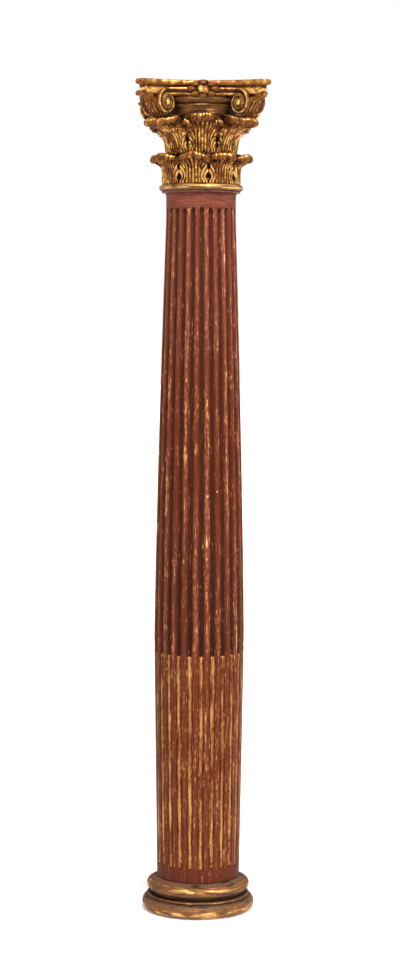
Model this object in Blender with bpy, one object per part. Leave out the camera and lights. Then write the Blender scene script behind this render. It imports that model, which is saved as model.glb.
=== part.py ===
"""A gilded wooden column: a turned Attic base, a fluted shaft with entasis and cabled flutes,
and a carved composite capital with two rows of leaves, corner volutes and a hollow-sided abacus.
The origin is at the middle of the underside. +Z is up and the front faces -Y."""

import math

import bmesh
import bpy

# Fit between the three pieces, in metres as every length here
JOINT_GAP = 0.0003

# Base, from the floor upwards
LOWER_TORUS_RADIUS = 0.1296
LOWER_TORUS_HEIGHT = 0.0340
LOWER_FILLET_RADIUS = 0.1180
LOWER_FILLET_HEIGHT = 0.0045
SCOTIA_RADIUS = 0.1045
SCOTIA_HEIGHT = 0.0055
UPPER_FILLET_RADIUS = 0.1095
UPPER_FILLET_HEIGHT = 0.0025
UPPER_TORUS_RADIUS = 0.1188
UPPER_TORUS_HEIGHT = 0.0250
SHELF_RISE = 0.0060
BASE_SEGMENTS = 36

# Shaft
FOOT_RADIUS = 0.0952
BELLY_RADIUS = 0.1036
BELLY_LEVEL = 0.6400
BELLY_EASE_BELOW = 1.10
BELLY_EASE_ABOVE = 1.30
NECK_RADIUS = 0.0795
NECK_LEVEL = 1.6000
FLUTE_COUNT = 24
FLUTE_SHARE = 0.55
FLUTE_DEPTH = 0.0050
FLUTE_FOOT_LEVEL = 0.1080
FLUTE_TOP_LEVEL = 1.6200
FLUTE_TURN = math.radians(-1.5)
FLUTE_END_LENGTH = 0.0090
CABLING_TOP_LEVEL = 0.6050
CABLING_END_LENGTH = 0.0080
CABLING_SINK = 0.0006
CABLING_GROOVE = 0.0026
APOPHYGE_HEIGHT = 0.0080
NECK_FILLET_RADIUS = 0.0895
NECK_FILLET_HEIGHT = 0.0040
ASTRAGAL_RADIUS = 0.0959
ASTRAGAL_HEIGHT = 0.0140
SHAFT_TOP_LEVEL = 1.6735
FLUTED_SPANS = 3
CABLED_SPANS = 2

# Capital, as a whole
CAPITAL_HEIGHT = 0.2262
CAPITAL_FOOT_RADIUS = 0.0868

# Abacus
ABACUS_CORNER_REACH = 0.2030
ABACUS_CORNER_WIDTH = 0.0200
ABACUS_SIDE_REACH = 0.1138
ABACUS_MOULDING_HEIGHT = 0.0120
ABACUS_RECESS_HEIGHT = 0.0060
ABACUS_FASCIA_HEIGHT = 0.0140
ABACUS_RECESS_DEPTH = 0.0100
ABACUS_SIDE_STEPS = 6

# Bell, between the upper leaves and the abacus
BELL_RADIUS = 0.0920
BELL_BEAD_RADIUS = 0.0970
BELL_BEAD_HEIGHT = 0.0060
BELL_LIP_RADIUS = 0.1020
BELL_LIP_HEIGHT = 0.0140
BELL_BARE_HEIGHT = 0.0220

# Leaves: eight in each row, carved on the bell
LEAF_COUNT = 8
LOWER_ROW_TURN = math.radians(-13.5)
UPPER_ROW_TURN = math.radians(0.0)
LOWER_LEAF_HEIGHT = 0.0672
LOWER_LEAF_BODY_RADIUS = 0.0876
LOWER_LEAF_TIP_REACH = 0.1195
LOWER_LEAF_TIP_HEIGHT = 0.0240
UPPER_LEAF_BODY_RADIUS = 0.0810
UPPER_AXIS_TIP_REACH = 0.1220
UPPER_CORNER_TIP_REACH = 0.1630
UPPER_LEAF_TIP_HEIGHT = 0.0200
ROW_GAP = 0.0100
LEAF_VALLEY_DEPTH = 0.0060
LEAF_RIB_RELIEF = 0.0022
LEAF_EDGE_FADE = 0.16
# Corners across each leaf, from the midrib at 0 to the valley at 1, and how ribs and grooves stand there
LEAF_COLUMNS = (0.0, 0.24, 0.5, 0.78, 1.0, -0.78, -0.5, -0.24)
LEAF_RIBS = {0.0: 0.7, 0.24: -0.7, 0.5: 0.8, 0.78: -0.6, 1.0: 0.0}

# Volutes: one scroll under each corner of the abacus, showing a spiral on both of its sides
SCROLL_REACH = 0.1320
SCROLL_DROP = 0.0500
SCROLL_WIDTH = 0.0500
SCROLL_BAND_RADIUS = 0.0340
SCROLL_EYE_RADIUS = 0.0065
SCROLL_RIDGE_WIDTH = 0.0050
SCROLL_RIDGE_HEIGHT = 0.0028
SCROLL_TURNS = 1.5
SCROLL_STEPS = 9

# Band from scroll to scroll along each side
BAND_HEIGHT = 0.0160
BAND_DEPTH = 0.0120

# Corner leaves on the outer side of the scrolls
CORNER_LEAF_WIDTH = 0.0540
CORNER_LEAF_REACH = 0.2030

# Flowers at the middle of the abacus sides
FLOWER_WIDTH = 0.0700
FLOWER_HEIGHT = 0.0390
FLOWER_REACH = 0.1280
FLOWER_PETALS = 6

FULL_TURN = 2.0 * math.pi
CORNER_COUNT = 4
WELD = 0.00001
FLAT_ANGLE = 4.0

BASE_HEIGHT = (
    LOWER_TORUS_HEIGHT
    + LOWER_FILLET_HEIGHT
    + SCOTIA_HEIGHT
    + UPPER_FILLET_HEIGHT
    + UPPER_TORUS_HEIGHT
    + SHELF_RISE
)
SHAFT_FOOT_LEVEL = BASE_HEIGHT + JOINT_GAP
CAPITAL_FOOT_LEVEL = SHAFT_TOP_LEVEL + JOINT_GAP
COLUMN_HEIGHT = CAPITAL_FOOT_LEVEL + CAPITAL_HEIGHT
ABACUS_HEIGHT = ABACUS_MOULDING_HEIGHT + ABACUS_RECESS_HEIGHT + ABACUS_FASCIA_HEIGHT
ABACUS_FOOT_LEVEL = COLUMN_HEIGHT - ABACUS_HEIGHT
UPPER_LEAF_TOP = CAPITAL_HEIGHT - ABACUS_HEIGHT - BELL_LIP_HEIGHT - BELL_BEAD_HEIGHT - BELL_BARE_HEIGHT


def clear_scene():
    """Remove what the file holds, so that the column stands alone."""
    for item in list(bpy.data.objects):
        bpy.data.objects.remove(item, do_unlink=True)


def finish_material(name, colour, roughness, metallic):
    """One Principled material with a plain colour and gloss."""
    material = bpy.data.materials.new(name)
    material.use_nodes = True
    shader = material.node_tree.nodes["Principled BSDF"]
    shader.inputs["Base Color"].default_value = colour
    shader.inputs["Roughness"].default_value = roughness
    shader.inputs["Metallic"].default_value = metallic
    return material


def add_object(name, bm, material):
    """Put a finished bmesh into the scene as a smooth-shaded object."""
    bmesh.ops.recalc_face_normals(bm, faces=bm.faces)
    mesh = bpy.data.meshes.new(name)
    bm.to_mesh(mesh)
    bm.free()
    mesh.materials.append(material)
    mesh.shade_smooth()
    mesh.set_sharp_from_angle(angle=math.radians(40.0))
    item = bpy.data.objects.new(name, mesh)
    bpy.context.scene.collection.objects.link(item)
    return item


def ease(value):
    """A smooth step from 0 to 1."""
    share = min(1.0, max(0.0, value))
    return share * share * (3.0 - 2.0 * share)


def arc(centre, radii, start, end, steps):
    """Points on an elliptic arc in the (radius, level) plane; angles in degrees."""
    points = []
    for step in range(steps + 1):
        angle = math.radians(start + (end - start) * step / steps)
        points.append((centre[0] + radii[0] * math.cos(angle), centre[1] + radii[1] * math.sin(angle)))
    return points


def build_base(material):
    """The turned base: lower torus, fillets and scotia, upper torus and a sloping shelf."""
    lower_tube = LOWER_TORUS_HEIGHT / 2.0
    upper_tube = UPPER_TORUS_HEIGHT / 2.0
    fillet_foot = LOWER_TORUS_HEIGHT
    scotia_foot = fillet_foot + LOWER_FILLET_HEIGHT
    scotia_head = scotia_foot + SCOTIA_HEIGHT
    upper_foot = scotia_head + UPPER_FILLET_HEIGHT
    upper_centre = (UPPER_TORUS_RADIUS - upper_tube, upper_foot + upper_tube)
    lower_centre = (LOWER_TORUS_RADIUS - lower_tube, lower_tube)
    seat_radius = FOOT_RADIUS + 0.5 * SHELF_RISE / 2.0
    profile = [(0.0, BASE_HEIGHT), (seat_radius, BASE_HEIGHT)]
    profile += arc(upper_centre, (upper_tube, upper_tube), 72.0, -78.0, 5)
    profile += [
        (UPPER_FILLET_RADIUS, scotia_head),
        (SCOTIA_RADIUS, 0.5 * (scotia_head + scotia_foot)),
        (LOWER_FILLET_RADIUS, scotia_foot),
        (LOWER_FILLET_RADIUS, fillet_foot),
    ]
    profile += arc(lower_centre, (lower_tube, lower_tube), 58.0, -90.0, 6)
    profile.append((0.0, 0.0))

    bm = bmesh.new()
    corners = [bm.verts.new((radius, 0.0, level)) for radius, level in profile]
    for upper, lower in zip(corners, corners[1:]):
        bm.edges.new((upper, lower))
    mesh = bpy.data.meshes.new("base")
    bm.to_mesh(mesh)
    bm.free()
    mesh.materials.append(material)
    item = bpy.data.objects.new("base", mesh)
    bpy.context.scene.collection.objects.link(item)
    turning = item.modifiers.new("turning", "SCREW")
    turning.axis = "Z"
    turning.angle = FULL_TURN
    turning.steps = BASE_SEGMENTS
    turning.render_steps = BASE_SEGMENTS
    turning.use_merge_vertices = True
    turning.merge_threshold = WELD
    turning.use_smooth_shade = True
    return item


def shaft_radius(level):
    """The entasis: radius of the shaft over the fillets between its flutes."""
    if level >= BELLY_LEVEL:
        share = min(1.0, (level - BELLY_LEVEL) / (NECK_LEVEL - BELLY_LEVEL))
        return BELLY_RADIUS - (BELLY_RADIUS - NECK_RADIUS) * share**BELLY_EASE_ABOVE
    share = (BELLY_LEVEL - level) / (BELLY_LEVEL - SHAFT_FOOT_LEVEL)
    return BELLY_RADIUS - (BELLY_RADIUS - FOOT_RADIUS) * share**BELLY_EASE_BELOW


def plain_ring(bm, radius, level, count):
    """A round ring of corners, starting in line with the edge of a flute."""
    ring = []
    for index in range(count):
        angle = FLUTE_TURN + FULL_TURN * (index / count - FLUTE_SHARE / (2.0 * FLUTE_COUNT))
        ring.append(bm.verts.new((radius * math.cos(angle), radius * math.sin(angle), level)))
    return ring


def fluted_ring(bm, level, hollow, rod):
    """A ring of five corners to each flute. Hollow and rod are depths below the fillets,
    at the quarter points and at the middle of the flute."""
    radius = shaft_radius(level)
    ring = []
    for flute in range(FLUTE_COUNT):
        middle = FLUTE_TURN + FULL_TURN * flute / FLUTE_COUNT
        for across in (-1.0, -0.5, 0.0, 0.5, 1.0):
            angle = middle + across * FULL_TURN * FLUTE_SHARE / (2.0 * FLUTE_COUNT)
            depth = rod if across == 0.0 else hollow
            reach = radius - (0.0 if abs(across) == 1.0 else depth)
            ring.append(bm.verts.new((reach * math.cos(angle), reach * math.sin(angle), level)))
    return ring


def join_rings(bm, lower, upper):
    """Faces between two rings, with either as many corners or one ring twice as many."""
    if len(lower) == len(upper):
        for index in range(len(lower)):
            after = (index + 1) % len(lower)
            bm.faces.new((lower[index], lower[after], upper[after], upper[index]))
        return
    coarse, fine = (lower, upper) if len(lower) < len(upper) else (upper, lower)
    for index in range(len(coarse)):
        after = (index + 1) % len(coarse)
        middle = 2 * index + 1
        end = (middle + 1) % len(fine)
        bm.faces.new((coarse[index], fine[middle], fine[2 * index]))
        bm.faces.new((coarse[index], coarse[after], fine[middle]))
        bm.faces.new((coarse[after], fine[end], fine[middle]))


def build_shaft(material):
    """The shaft with its foot band, cabled and open flutes, neck and astragal, carved in one."""
    bm = bmesh.new()
    fine_count = 5 * FLUTE_COUNT
    coarse_count = fine_count // 2
    hollow = FLUTE_DEPTH
    quarter = 0.75 * FLUTE_DEPTH
    tube = ASTRAGAL_HEIGHT / 2.0
    neck_top = SHAFT_TOP_LEVEL - ASTRAGAL_HEIGHT - NECK_FILLET_HEIGHT
    foot_end = FLUTE_FOOT_LEVEL + FLUTE_END_LENGTH
    cable_end = CABLING_TOP_LEVEL - CABLING_END_LENGTH
    top_end = FLUTE_TOP_LEVEL - FLUTE_END_LENGTH
    rings = [
        plain_ring(bm, FOOT_RADIUS, SHAFT_FOOT_LEVEL, coarse_count),
        fluted_ring(bm, FLUTE_FOOT_LEVEL, 0.0, 0.0),
        fluted_ring(bm, foot_end, CABLING_GROOVE, CABLING_SINK),
    ]
    for step in range(1, CABLED_SPANS + 1):
        level = foot_end + (cable_end - foot_end) * step / CABLED_SPANS
        rings.append(fluted_ring(bm, level, CABLING_GROOVE, CABLING_SINK))
    rings.append(fluted_ring(bm, CABLING_TOP_LEVEL, quarter, hollow))
    for step in range(1, FLUTED_SPANS + 1):
        level = CABLING_TOP_LEVEL + (top_end - CABLING_TOP_LEVEL) * step / FLUTED_SPANS
        rings.append(fluted_ring(bm, level, quarter, hollow))
    rings.append(fluted_ring(bm, FLUTE_TOP_LEVEL, 0.0, 0.0))
    rings.append(plain_ring(bm, NECK_RADIUS, neck_top - APOPHYGE_HEIGHT, coarse_count))
    flare = NECK_FILLET_RADIUS - NECK_RADIUS
    rings.append(plain_ring(bm, NECK_RADIUS + 0.3 * flare, neck_top - 0.35 * APOPHYGE_HEIGHT, coarse_count))
    rings.append(plain_ring(bm, NECK_FILLET_RADIUS, neck_top, coarse_count))
    rings.append(plain_ring(bm, NECK_FILLET_RADIUS, neck_top + NECK_FILLET_HEIGHT, coarse_count))
    centre = (ASTRAGAL_RADIUS - tube, SHAFT_TOP_LEVEL - tube)
    for radius, level in arc(centre, (tube, tube), -75.0, 90.0, 4):
        rings.append(plain_ring(bm, radius, level, coarse_count))
    for lower, upper in zip(rings, rings[1:]):
        join_rings(bm, lower, upper)
    bm.faces.new(list(reversed(rings[0])))
    bm.faces.new(rings[-1])
    return add_object("shaft", bm, material)


def leaf_reach(across, half_width):
    """How far a leaf stands out, from 1 on its midrib to 0 beside it."""
    return ease((half_width + LEAF_EDGE_FADE - abs(across)) / (2.0 * LEAF_EDGE_FADE))


def lower_leaf_rows():
    """Rows of the lower leaves, from the foot up and over the curled tips. Each has the radius and
    level of the ground, those of the midrib, and how wide the leaf is there. Levels start at the foot."""
    body = LOWER_LEAF_BODY_RADIUS
    curl = LOWER_LEAF_TIP_REACH - body
    ground = body - LEAF_VALLEY_DEPTH
    bell = UPPER_LEAF_BODY_RADIUS - 0.5 * LEAF_VALLEY_DEPTH
    tip = LOWER_LEAF_TIP_HEIGHT
    under = LOWER_LEAF_HEIGHT - tip
    rows = [(CAPITAL_FOOT_RADIUS, 0.0, CAPITAL_FOOT_RADIUS, 0.0, 1.3)]
    for rise, out, height, width in ((0.18, 0.0, 0.18, 0.86), (0.70, 0.0, 0.72, 0.86), (0.89, 0.1, 0.95, 0.80)):
        rows.append((ground, rise * under, body + out * curl, height * under, width))
    for inner, rise, out, height, width in (
        (ground, 0.08, 0.45, 0.04, 0.66),
        (ground, 0.38, 0.86, 0.17, 0.58),
        (ground, 0.62, 1.00, 0.50, 0.52),
        (bell, 0.83, 0.80, 0.88, 0.58),
        (bell, 1.00, 0.30, 1.00, 0.70),
    ):
        rows.append((inner, under + rise * tip, body + out * curl, under + height * tip, width))
    rows.append((bell, under + 1.17 * tip, bell, under + 1.10 * tip, 0.90))
    return rows


def upper_leaf_rows():
    """Rows of the upper leaves: ground, midrib of a leaf on an axis, midrib of a leaf under a corner."""
    body = UPPER_LEAF_BODY_RADIUS
    axis_curl = UPPER_AXIS_TIP_REACH - body
    corner_curl = UPPER_CORNER_TIP_REACH - body
    ground = body - 0.5 * LEAF_VALLEY_DEPTH
    swell = BELL_RADIUS - ground
    tip = UPPER_LEAF_TIP_HEIGHT
    start = LOWER_LEAF_HEIGHT + ROW_GAP
    under = UPPER_LEAF_TOP - tip
    rows = []
    for rise, axis_out, axis_rise, corner_out, corner_rise, width in (
        (0.00, 0.00, 0.00, 0.04, 0.00, 0.86),
        (0.55, 0.12, 0.55, 0.17, 0.52, 0.84),
        (0.90, 0.42, 0.90, 0.50, 0.86, 0.72),
        (1.00, 0.74, 1.00, 0.82, 0.96, 0.62),
    ):
        axis = (body + axis_out * axis_curl, start + axis_rise * (under - start))
        corner = (body + corner_out * corner_curl, start + corner_rise * (under - start))
        rows.append((ground + 0.5 * rise * swell, start + rise * (under - start), axis, corner, width))
    for inner, rise, axis_out, corner_out, height, width in (
        (0.65, 0.30, 1.00, 1.00, 0.50, 0.55),
        (0.80, 0.75, 0.88, 0.92, 0.90, 0.60),
        (0.90, 1.00, 0.45, 0.45, 1.02, 0.74),
    ):
        axis = (body + axis_out * axis_curl, under + height * tip)
        corner = (body + corner_out * corner_curl, under + height * tip)
        rows.append((ground + inner * swell, under + rise * tip, axis, corner, width))
    edge = (BELL_RADIUS, under + 1.15 * tip)
    rows.append((BELL_RADIUS, under + 1.15 * tip, edge, edge, 1.0))
    return rows


def leaf_ring(bm, turn, bell, level, axis, corner, width):
    """A ring through all eight leaves of a row. Bell and level give the ground between the leaves."""
    ring = []
    pitch = FULL_TURN / LEAF_COUNT
    for leaf in range(LEAF_COUNT):
        for across in LEAF_COLUMNS:
            owner = leaf + 1 if across < 0.0 else leaf
            crest = corner if owner % 2 else axis
            share = leaf_reach(across, width)
            radius = bell + (crest[0] - bell) * share
            if crest[0] > bell:
                radius += LEAF_RIB_RELIEF * LEAF_RIBS[abs(across)] * share
            height = level + (crest[1] - level) * share
            angle = turn + pitch * (owner + 0.5 * across)
            corner_x = radius * math.sin(angle)
            corner_y = -radius * math.cos(angle)
            ring.append(bm.verts.new((corner_x, corner_y, CAPITAL_FOOT_LEVEL + height)))
    return ring


def round_ring(bm, radius, level, count):
    """A round ring in the capital, starting at the front."""
    ring = []
    for index in range(count):
        angle = UPPER_ROW_TURN + FULL_TURN * index / count
        ring.append(bm.verts.new((radius * math.sin(angle), -radius * math.cos(angle), level)))
    return ring


def build_bell(material):
    """The bell with its two rows of leaves, its bead and its lip, as one closed body."""
    bm = bmesh.new()
    rings = []
    for bell, level, body, height, width in lower_leaf_rows():
        crest = (body, height)
        rings.append(leaf_ring(bm, LOWER_ROW_TURN, bell, level, crest, crest, width))
    for bell, level, axis, corner, width in upper_leaf_rows():
        rings.append(leaf_ring(bm, UPPER_ROW_TURN, bell, level, axis, corner, width))
    coarse_count = LEAF_COUNT * len(LEAF_COLUMNS) // 2
    lip_foot = ABACUS_FOOT_LEVEL - BELL_LIP_HEIGHT
    bead_foot = lip_foot - BELL_BEAD_HEIGHT
    for radius, level in (
        (BELL_RADIUS, bead_foot),
        (BELL_BEAD_RADIUS, bead_foot + 0.5 * BELL_BEAD_HEIGHT),
        (BELL_RADIUS + 0.3 * (BELL_BEAD_RADIUS - BELL_RADIUS), lip_foot),
        (BELL_LIP_RADIUS - 0.2 * BELL_LIP_HEIGHT, lip_foot + 0.10 * BELL_LIP_HEIGHT),
        (BELL_LIP_RADIUS, lip_foot + 0.45 * BELL_LIP_HEIGHT),
        (BELL_LIP_RADIUS - 0.2 * BELL_LIP_HEIGHT, lip_foot + 0.85 * BELL_LIP_HEIGHT),
        (BELL_RADIUS, ABACUS_FOOT_LEVEL + 0.4 * ABACUS_FASCIA_HEIGHT),
    ):
        rings.append(round_ring(bm, radius, level, coarse_count))
    for lower, upper in zip(rings, rings[1:]):
        join_rings(bm, lower, upper)
    bm.faces.new(list(reversed(rings[0])))
    bm.faces.new(rings[-1])
    return add_object("capital", bm, material)


def abacus_outline(inset):
    """Corners of the hollow-sided abacus, counter-clockwise, each drawn towards the axis by the inset."""
    half_root = math.sqrt(0.5)
    across = 0.5 * ABACUS_CORNER_WIDTH
    corner_x = (ABACUS_CORNER_REACH - across) * half_root
    corner_y = (ABACUS_CORNER_REACH + across) * half_root
    reach = ABACUS_SIDE_REACH
    centre = (corner_x**2 + corner_y**2 - reach**2) / (2.0 * (corner_y - reach))
    radius = centre - reach
    swing = math.asin(corner_x / radius)
    outline = []
    for side in range(CORNER_COUNT):
        turn = side * FULL_TURN / CORNER_COUNT
        for step in range(ABACUS_SIDE_STEPS + 1):
            angle = swing * (2.0 * step / ABACUS_SIDE_STEPS - 1.0)
            x = radius * math.sin(angle)
            y = radius * math.cos(angle) - centre
            keep = 1.0 - inset / math.hypot(x, y)
            across = keep * (x * math.cos(turn) - y * math.sin(turn))
            forward = keep * (x * math.sin(turn) + y * math.cos(turn))
            outline.append((across, forward))
    return outline


def build_abacus():
    """The abacus: a half-round moulding over a sunk band and a rounded fascia."""
    moulding = COLUMN_HEIGHT - ABACUS_MOULDING_HEIGHT
    recess = moulding - ABACUS_RECESS_HEIGHT
    roundness = 0.3 * ABACUS_MOULDING_HEIGHT
    levels = (
        (1.8 * ABACUS_RECESS_DEPTH, ABACUS_FOOT_LEVEL),
        (1.1 * ABACUS_RECESS_DEPTH, ABACUS_FOOT_LEVEL + 0.45 * ABACUS_FASCIA_HEIGHT),
        (ABACUS_RECESS_DEPTH, recess),
        (1.2 * ABACUS_RECESS_DEPTH, recess + 0.3 * ABACUS_RECESS_HEIGHT),
        (roundness, moulding),
        (0.0, moulding + 0.35 * ABACUS_MOULDING_HEIGHT),
        (0.0, COLUMN_HEIGHT - 0.3 * ABACUS_MOULDING_HEIGHT),
        (roundness, COLUMN_HEIGHT),
    )
    bm = bmesh.new()
    rings = []
    for inset, level in levels:
        rings.append([bm.verts.new((x, y, level)) for x, y in abacus_outline(inset)])
    for lower, upper in zip(rings, rings[1:]):
        join_rings(bm, lower, upper)
    bm.faces.new(list(reversed(rings[0])))
    bm.faces.new(rings[-1])
    return bm


def corner_point(corner, outward, across, level):
    """A point near one corner of the capital: distance out on the diagonal, across it, and level."""
    angle = FULL_TURN * (corner + 0.5) / CORNER_COUNT
    x = outward * math.sin(angle) + across * math.cos(angle)
    y = -outward * math.cos(angle) + across * math.sin(angle)
    return (x, y, level)


def add_prism(bm, corner, outline, half_width, ends=None):
    """A body with the given outline in the plane of a corner's diagonal, from side to side."""
    sides = []
    for sign in (-1.0, 1.0):
        sides.append([bm.verts.new(corner_point(corner, out, sign * half_width, level)) for out, level in outline])
    near, far = sides
    for index in range(len(outline)):
        after = (index + 1) % len(outline)
        bm.faces.new((near[index], near[after], far[after], far[index]))
    if ends is None:
        bm.faces.new(near)
        bm.faces.new(far)
        return
    for ring in (near, far):
        for face in ends:
            bm.faces.new([ring[index] for index in face])


def spiral_radius(turned):
    """Radius of a volute's outer edge after so many turns from its top."""
    shrink = (SCROLL_EYE_RADIUS + SCROLL_RIDGE_WIDTH) / SCROLL_BAND_RADIUS
    return SCROLL_BAND_RADIUS * shrink ** (turned / (SCROLL_TURNS + 0.25))


def scroll_centre():
    """Out along the diagonal, and level, of the middle of a scroll."""
    return (SCROLL_REACH, COLUMN_HEIGHT - SCROLL_DROP)


def spiral_point(turned, narrowing):
    """A point on a volute, going over the top, outwards and down."""
    out, level = scroll_centre()
    radius = spiral_radius(turned) - narrowing
    angle = 0.25 * FULL_TURN - turned * FULL_TURN
    return (out + radius * math.cos(angle), level + radius * math.sin(angle))


def build_scroll(corner):
    """The solid roll of a scroll, under its raised spirals."""
    bm = bmesh.new()
    steps = SCROLL_STEPS
    outline = [spiral_point(0.92 * step / steps, 0.5 * SCROLL_RIDGE_WIDTH) for step in range(steps + 1)]
    inner = SCROLL_REACH - 1.3 * SCROLL_BAND_RADIUS
    outline.append((inner, ABACUS_FOOT_LEVEL - 0.15 * ABACUS_FASCIA_HEIGHT))
    outline.append((inner, ABACUS_FOOT_LEVEL + 0.8 * ABACUS_FASCIA_HEIGHT))
    add_prism(bm, corner, outline, 0.5 * SCROLL_WIDTH)
    return bm


def build_ridge(corner):
    """The raised edge that winds into the spiral on both sides of a scroll."""
    bm = bmesh.new()
    count = int(SCROLL_TURNS * SCROLL_STEPS)
    outer = []
    inner = []
    for step in range(count + 1):
        turned = step / SCROLL_STEPS
        outer.append(spiral_point(turned, 0.0))
        inner.append(spiral_point(turned, SCROLL_RIDGE_WIDTH))
    outline = outer + list(reversed(inner))
    last = len(outline) - 1
    ends = [(index, index + 1, last - index - 1, last - index) for index in range(count)]
    add_prism(bm, corner, outline, 0.5 * SCROLL_WIDTH + SCROLL_RIDGE_HEIGHT, ends)
    return bm


def build_eye(corner):
    """The round eye in the middle of a scroll, showing on both sides."""
    bm = bmesh.new()
    out, level = scroll_centre()
    circle = arc((out, level), (SCROLL_EYE_RADIUS, SCROLL_EYE_RADIUS), 0.0, 315.0, 7)
    add_prism(bm, corner, circle, 0.5 * SCROLL_WIDTH + 1.6 * SCROLL_RIDGE_HEIGHT)
    return bm


def build_band(side):
    """The flat band that runs from one scroll to the next along a side of the abacus."""
    bm = bmesh.new()
    turn = side * FULL_TURN / CORNER_COUNT
    half_root = math.sqrt(0.5)
    face = (SCROLL_REACH + 0.5 * SCROLL_WIDTH) * half_root
    end = (SCROLL_REACH - 0.4 * SCROLL_WIDTH) * half_root
    top = COLUMN_HEIGHT - SCROLL_DROP + 0.98 * SCROLL_BAND_RADIUS
    foot = top - BAND_HEIGHT
    rings = []
    for across in (-end, end):
        ring = []
        for reach, level in ((face, foot), (face, top), (face - BAND_DEPTH, top), (face - BAND_DEPTH, foot)):
            x = across * math.cos(turn) + reach * math.sin(turn)
            y = across * math.sin(turn) - reach * math.cos(turn)
            ring.append(bm.verts.new((x, y, level)))
        rings.append(ring)
    join_rings(bm, rings[0], rings[1])
    bm.faces.new(rings[0])
    bm.faces.new(list(reversed(rings[1])))
    return bm


def build_corner_leaf(corner):
    """The leaf that climbs the outer side of a scroll and curls out below the abacus."""
    bm = bmesh.new()
    out, level = scroll_centre()
    roll = SCROLL_BAND_RADIUS
    span = CORNER_LEAF_REACH - out
    rise = ABACUS_FOOT_LEVEL - level
    half = 0.5 * CORNER_LEAF_WIDTH
    front = (
        (out + 0.17 * span, level - 0.78 * roll, 0.62),
        (out + 0.42 * span, level - 0.68 * roll, 0.84),
        (out + 0.57 * span, level - 0.38 * roll, 0.98),
        (out + 0.63 * span, level - 0.12 * roll, 0.86),
        (out + 0.76 * span, level + 0.17 * rise, 0.92),
        (out + 0.92 * span, level + 0.53 * rise, 0.56),
        (out + span, level + 0.78 * rise, 0.36),
    )
    back = (
        (out + 0.89 * span, level + 0.97 * rise, 0.40),
        (out + 0.68 * span, level + 0.89 * rise, 0.82),
        (out + 0.28 * span, level + 0.22 * rise, 0.74),
        (out + 0.08 * span, level - 0.35 * roll, 0.55),
    )
    rings = []
    for across, inset in ((-1.0, 0.04), (-0.55, 0.0), (0.0, -0.02), (0.55, 0.0), (1.0, 0.04)):
        ring = []
        for distance, height, width in front:
            point = corner_point(corner, distance - inset * span, across * half * width, height)
            ring.append(bm.verts.new(point))
        for distance, height, width in back:
            point = corner_point(corner, distance, across * half * width, height)
            ring.append(bm.verts.new(point))
        rings.append(ring)
    for near, far in zip(rings, rings[1:]):
        join_rings(bm, near, far)
    for ring, outward in ((rings[0], True), (rings[-1], False)):
        backs = list(reversed(ring[len(front):]))
        for step in range(len(front) - 1):
            face = [ring[step], ring[step + 1], backs[(step + 1) // 2], backs[step // 2]]
            if step % 2 == 0:
                face.pop()
            bm.faces.new(face if outward else list(reversed(face)))
    return bm


def build_flower(side):
    """The flower at the middle of one side of the abacus."""
    bm = bmesh.new()
    turn = side * FULL_TURN / CORNER_COUNT
    middle = COLUMN_HEIGHT - 0.515 * FLOWER_HEIGHT
    back = ABACUS_SIDE_REACH - 2.0 * ABACUS_RECESS_DEPTH
    deep = FLOWER_REACH - ABACUS_SIDE_REACH
    rows = (
        (back, 0.96, 0.80),
        (FLOWER_REACH - 0.45 * deep, 1.00, 0.70),
        (FLOWER_REACH - 0.60 * deep, 0.40, 0.34),
        (FLOWER_REACH, 0.20, 0.18),
    )
    count = 2 * FLOWER_PETALS
    rings = []
    for reach, petal, notch in rows:
        ring = []
        for index in range(count):
            angle = FULL_TURN * index / count
            share = notch if index % 2 else petal
            x = 0.5 * FLOWER_WIDTH * share * math.cos(angle)
            z = middle + 0.5 * FLOWER_HEIGHT * share * math.sin(angle)
            across = x * math.cos(turn) + reach * math.sin(turn)
            forward = x * math.sin(turn) - reach * math.cos(turn)
            ring.append(bm.verts.new((across, forward, z)))
        rings.append(ring)
    for near, far in zip(rings, rings[1:]):
        join_rings(bm, near, far)
    bm.faces.new(rings[0])
    bm.faces.new(list(reversed(rings[-1])))
    return bm


def build_capital(material):
    """The capital: bell and leaves, joined by union with abacus, scrolls, corner leaves and flowers."""
    carving = bpy.data.collections.new("capital carving")
    bpy.context.scene.collection.children.link(carving)
    shapes = [("abacus", build_abacus())]
    for corner in range(CORNER_COUNT):
        shapes.append((f"scroll_{corner}", build_scroll(corner)))
        shapes.append((f"ridge_{corner}", build_ridge(corner)))
        shapes.append((f"eye_{corner}", build_eye(corner)))
        shapes.append((f"corner_leaf_{corner}", build_corner_leaf(corner)))
        shapes.append((f"flower_{corner}", build_flower(corner)))
        shapes.append((f"band_{corner}", build_band(corner)))
    for name, bm in shapes:
        cutter = add_object(name, bm, material)
        bpy.context.scene.collection.objects.unlink(cutter)
        carving.objects.link(cutter)
        cutter.hide_render = True
        cutter.display_type = "WIRE"
    capital = build_bell(material)
    union = capital.modifiers.new("carving", "BOOLEAN")
    union.operation = "UNION"
    union.solver = "EXACT"
    union.operand_type = "COLLECTION"
    union.collection = carving
    flats = capital.modifiers.new("flats", "DECIMATE")
    flats.decimate_type = "DISSOLVE"
    flats.angle_limit = math.radians(FLAT_ANGLE)
    return capital


def main():
    """Build the three pieces of the column."""
    clear_scene()
    gilding = finish_material("gilded_wood", (0.36, 0.18, 0.045, 1.0), 0.38, 0.6)
    paint = finish_material("red_paint", (0.17, 0.045, 0.025, 1.0), 0.6, 0.0)
    build_base(gilding)
    build_shaft(paint)
    build_capital(gilding)


main()
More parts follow.
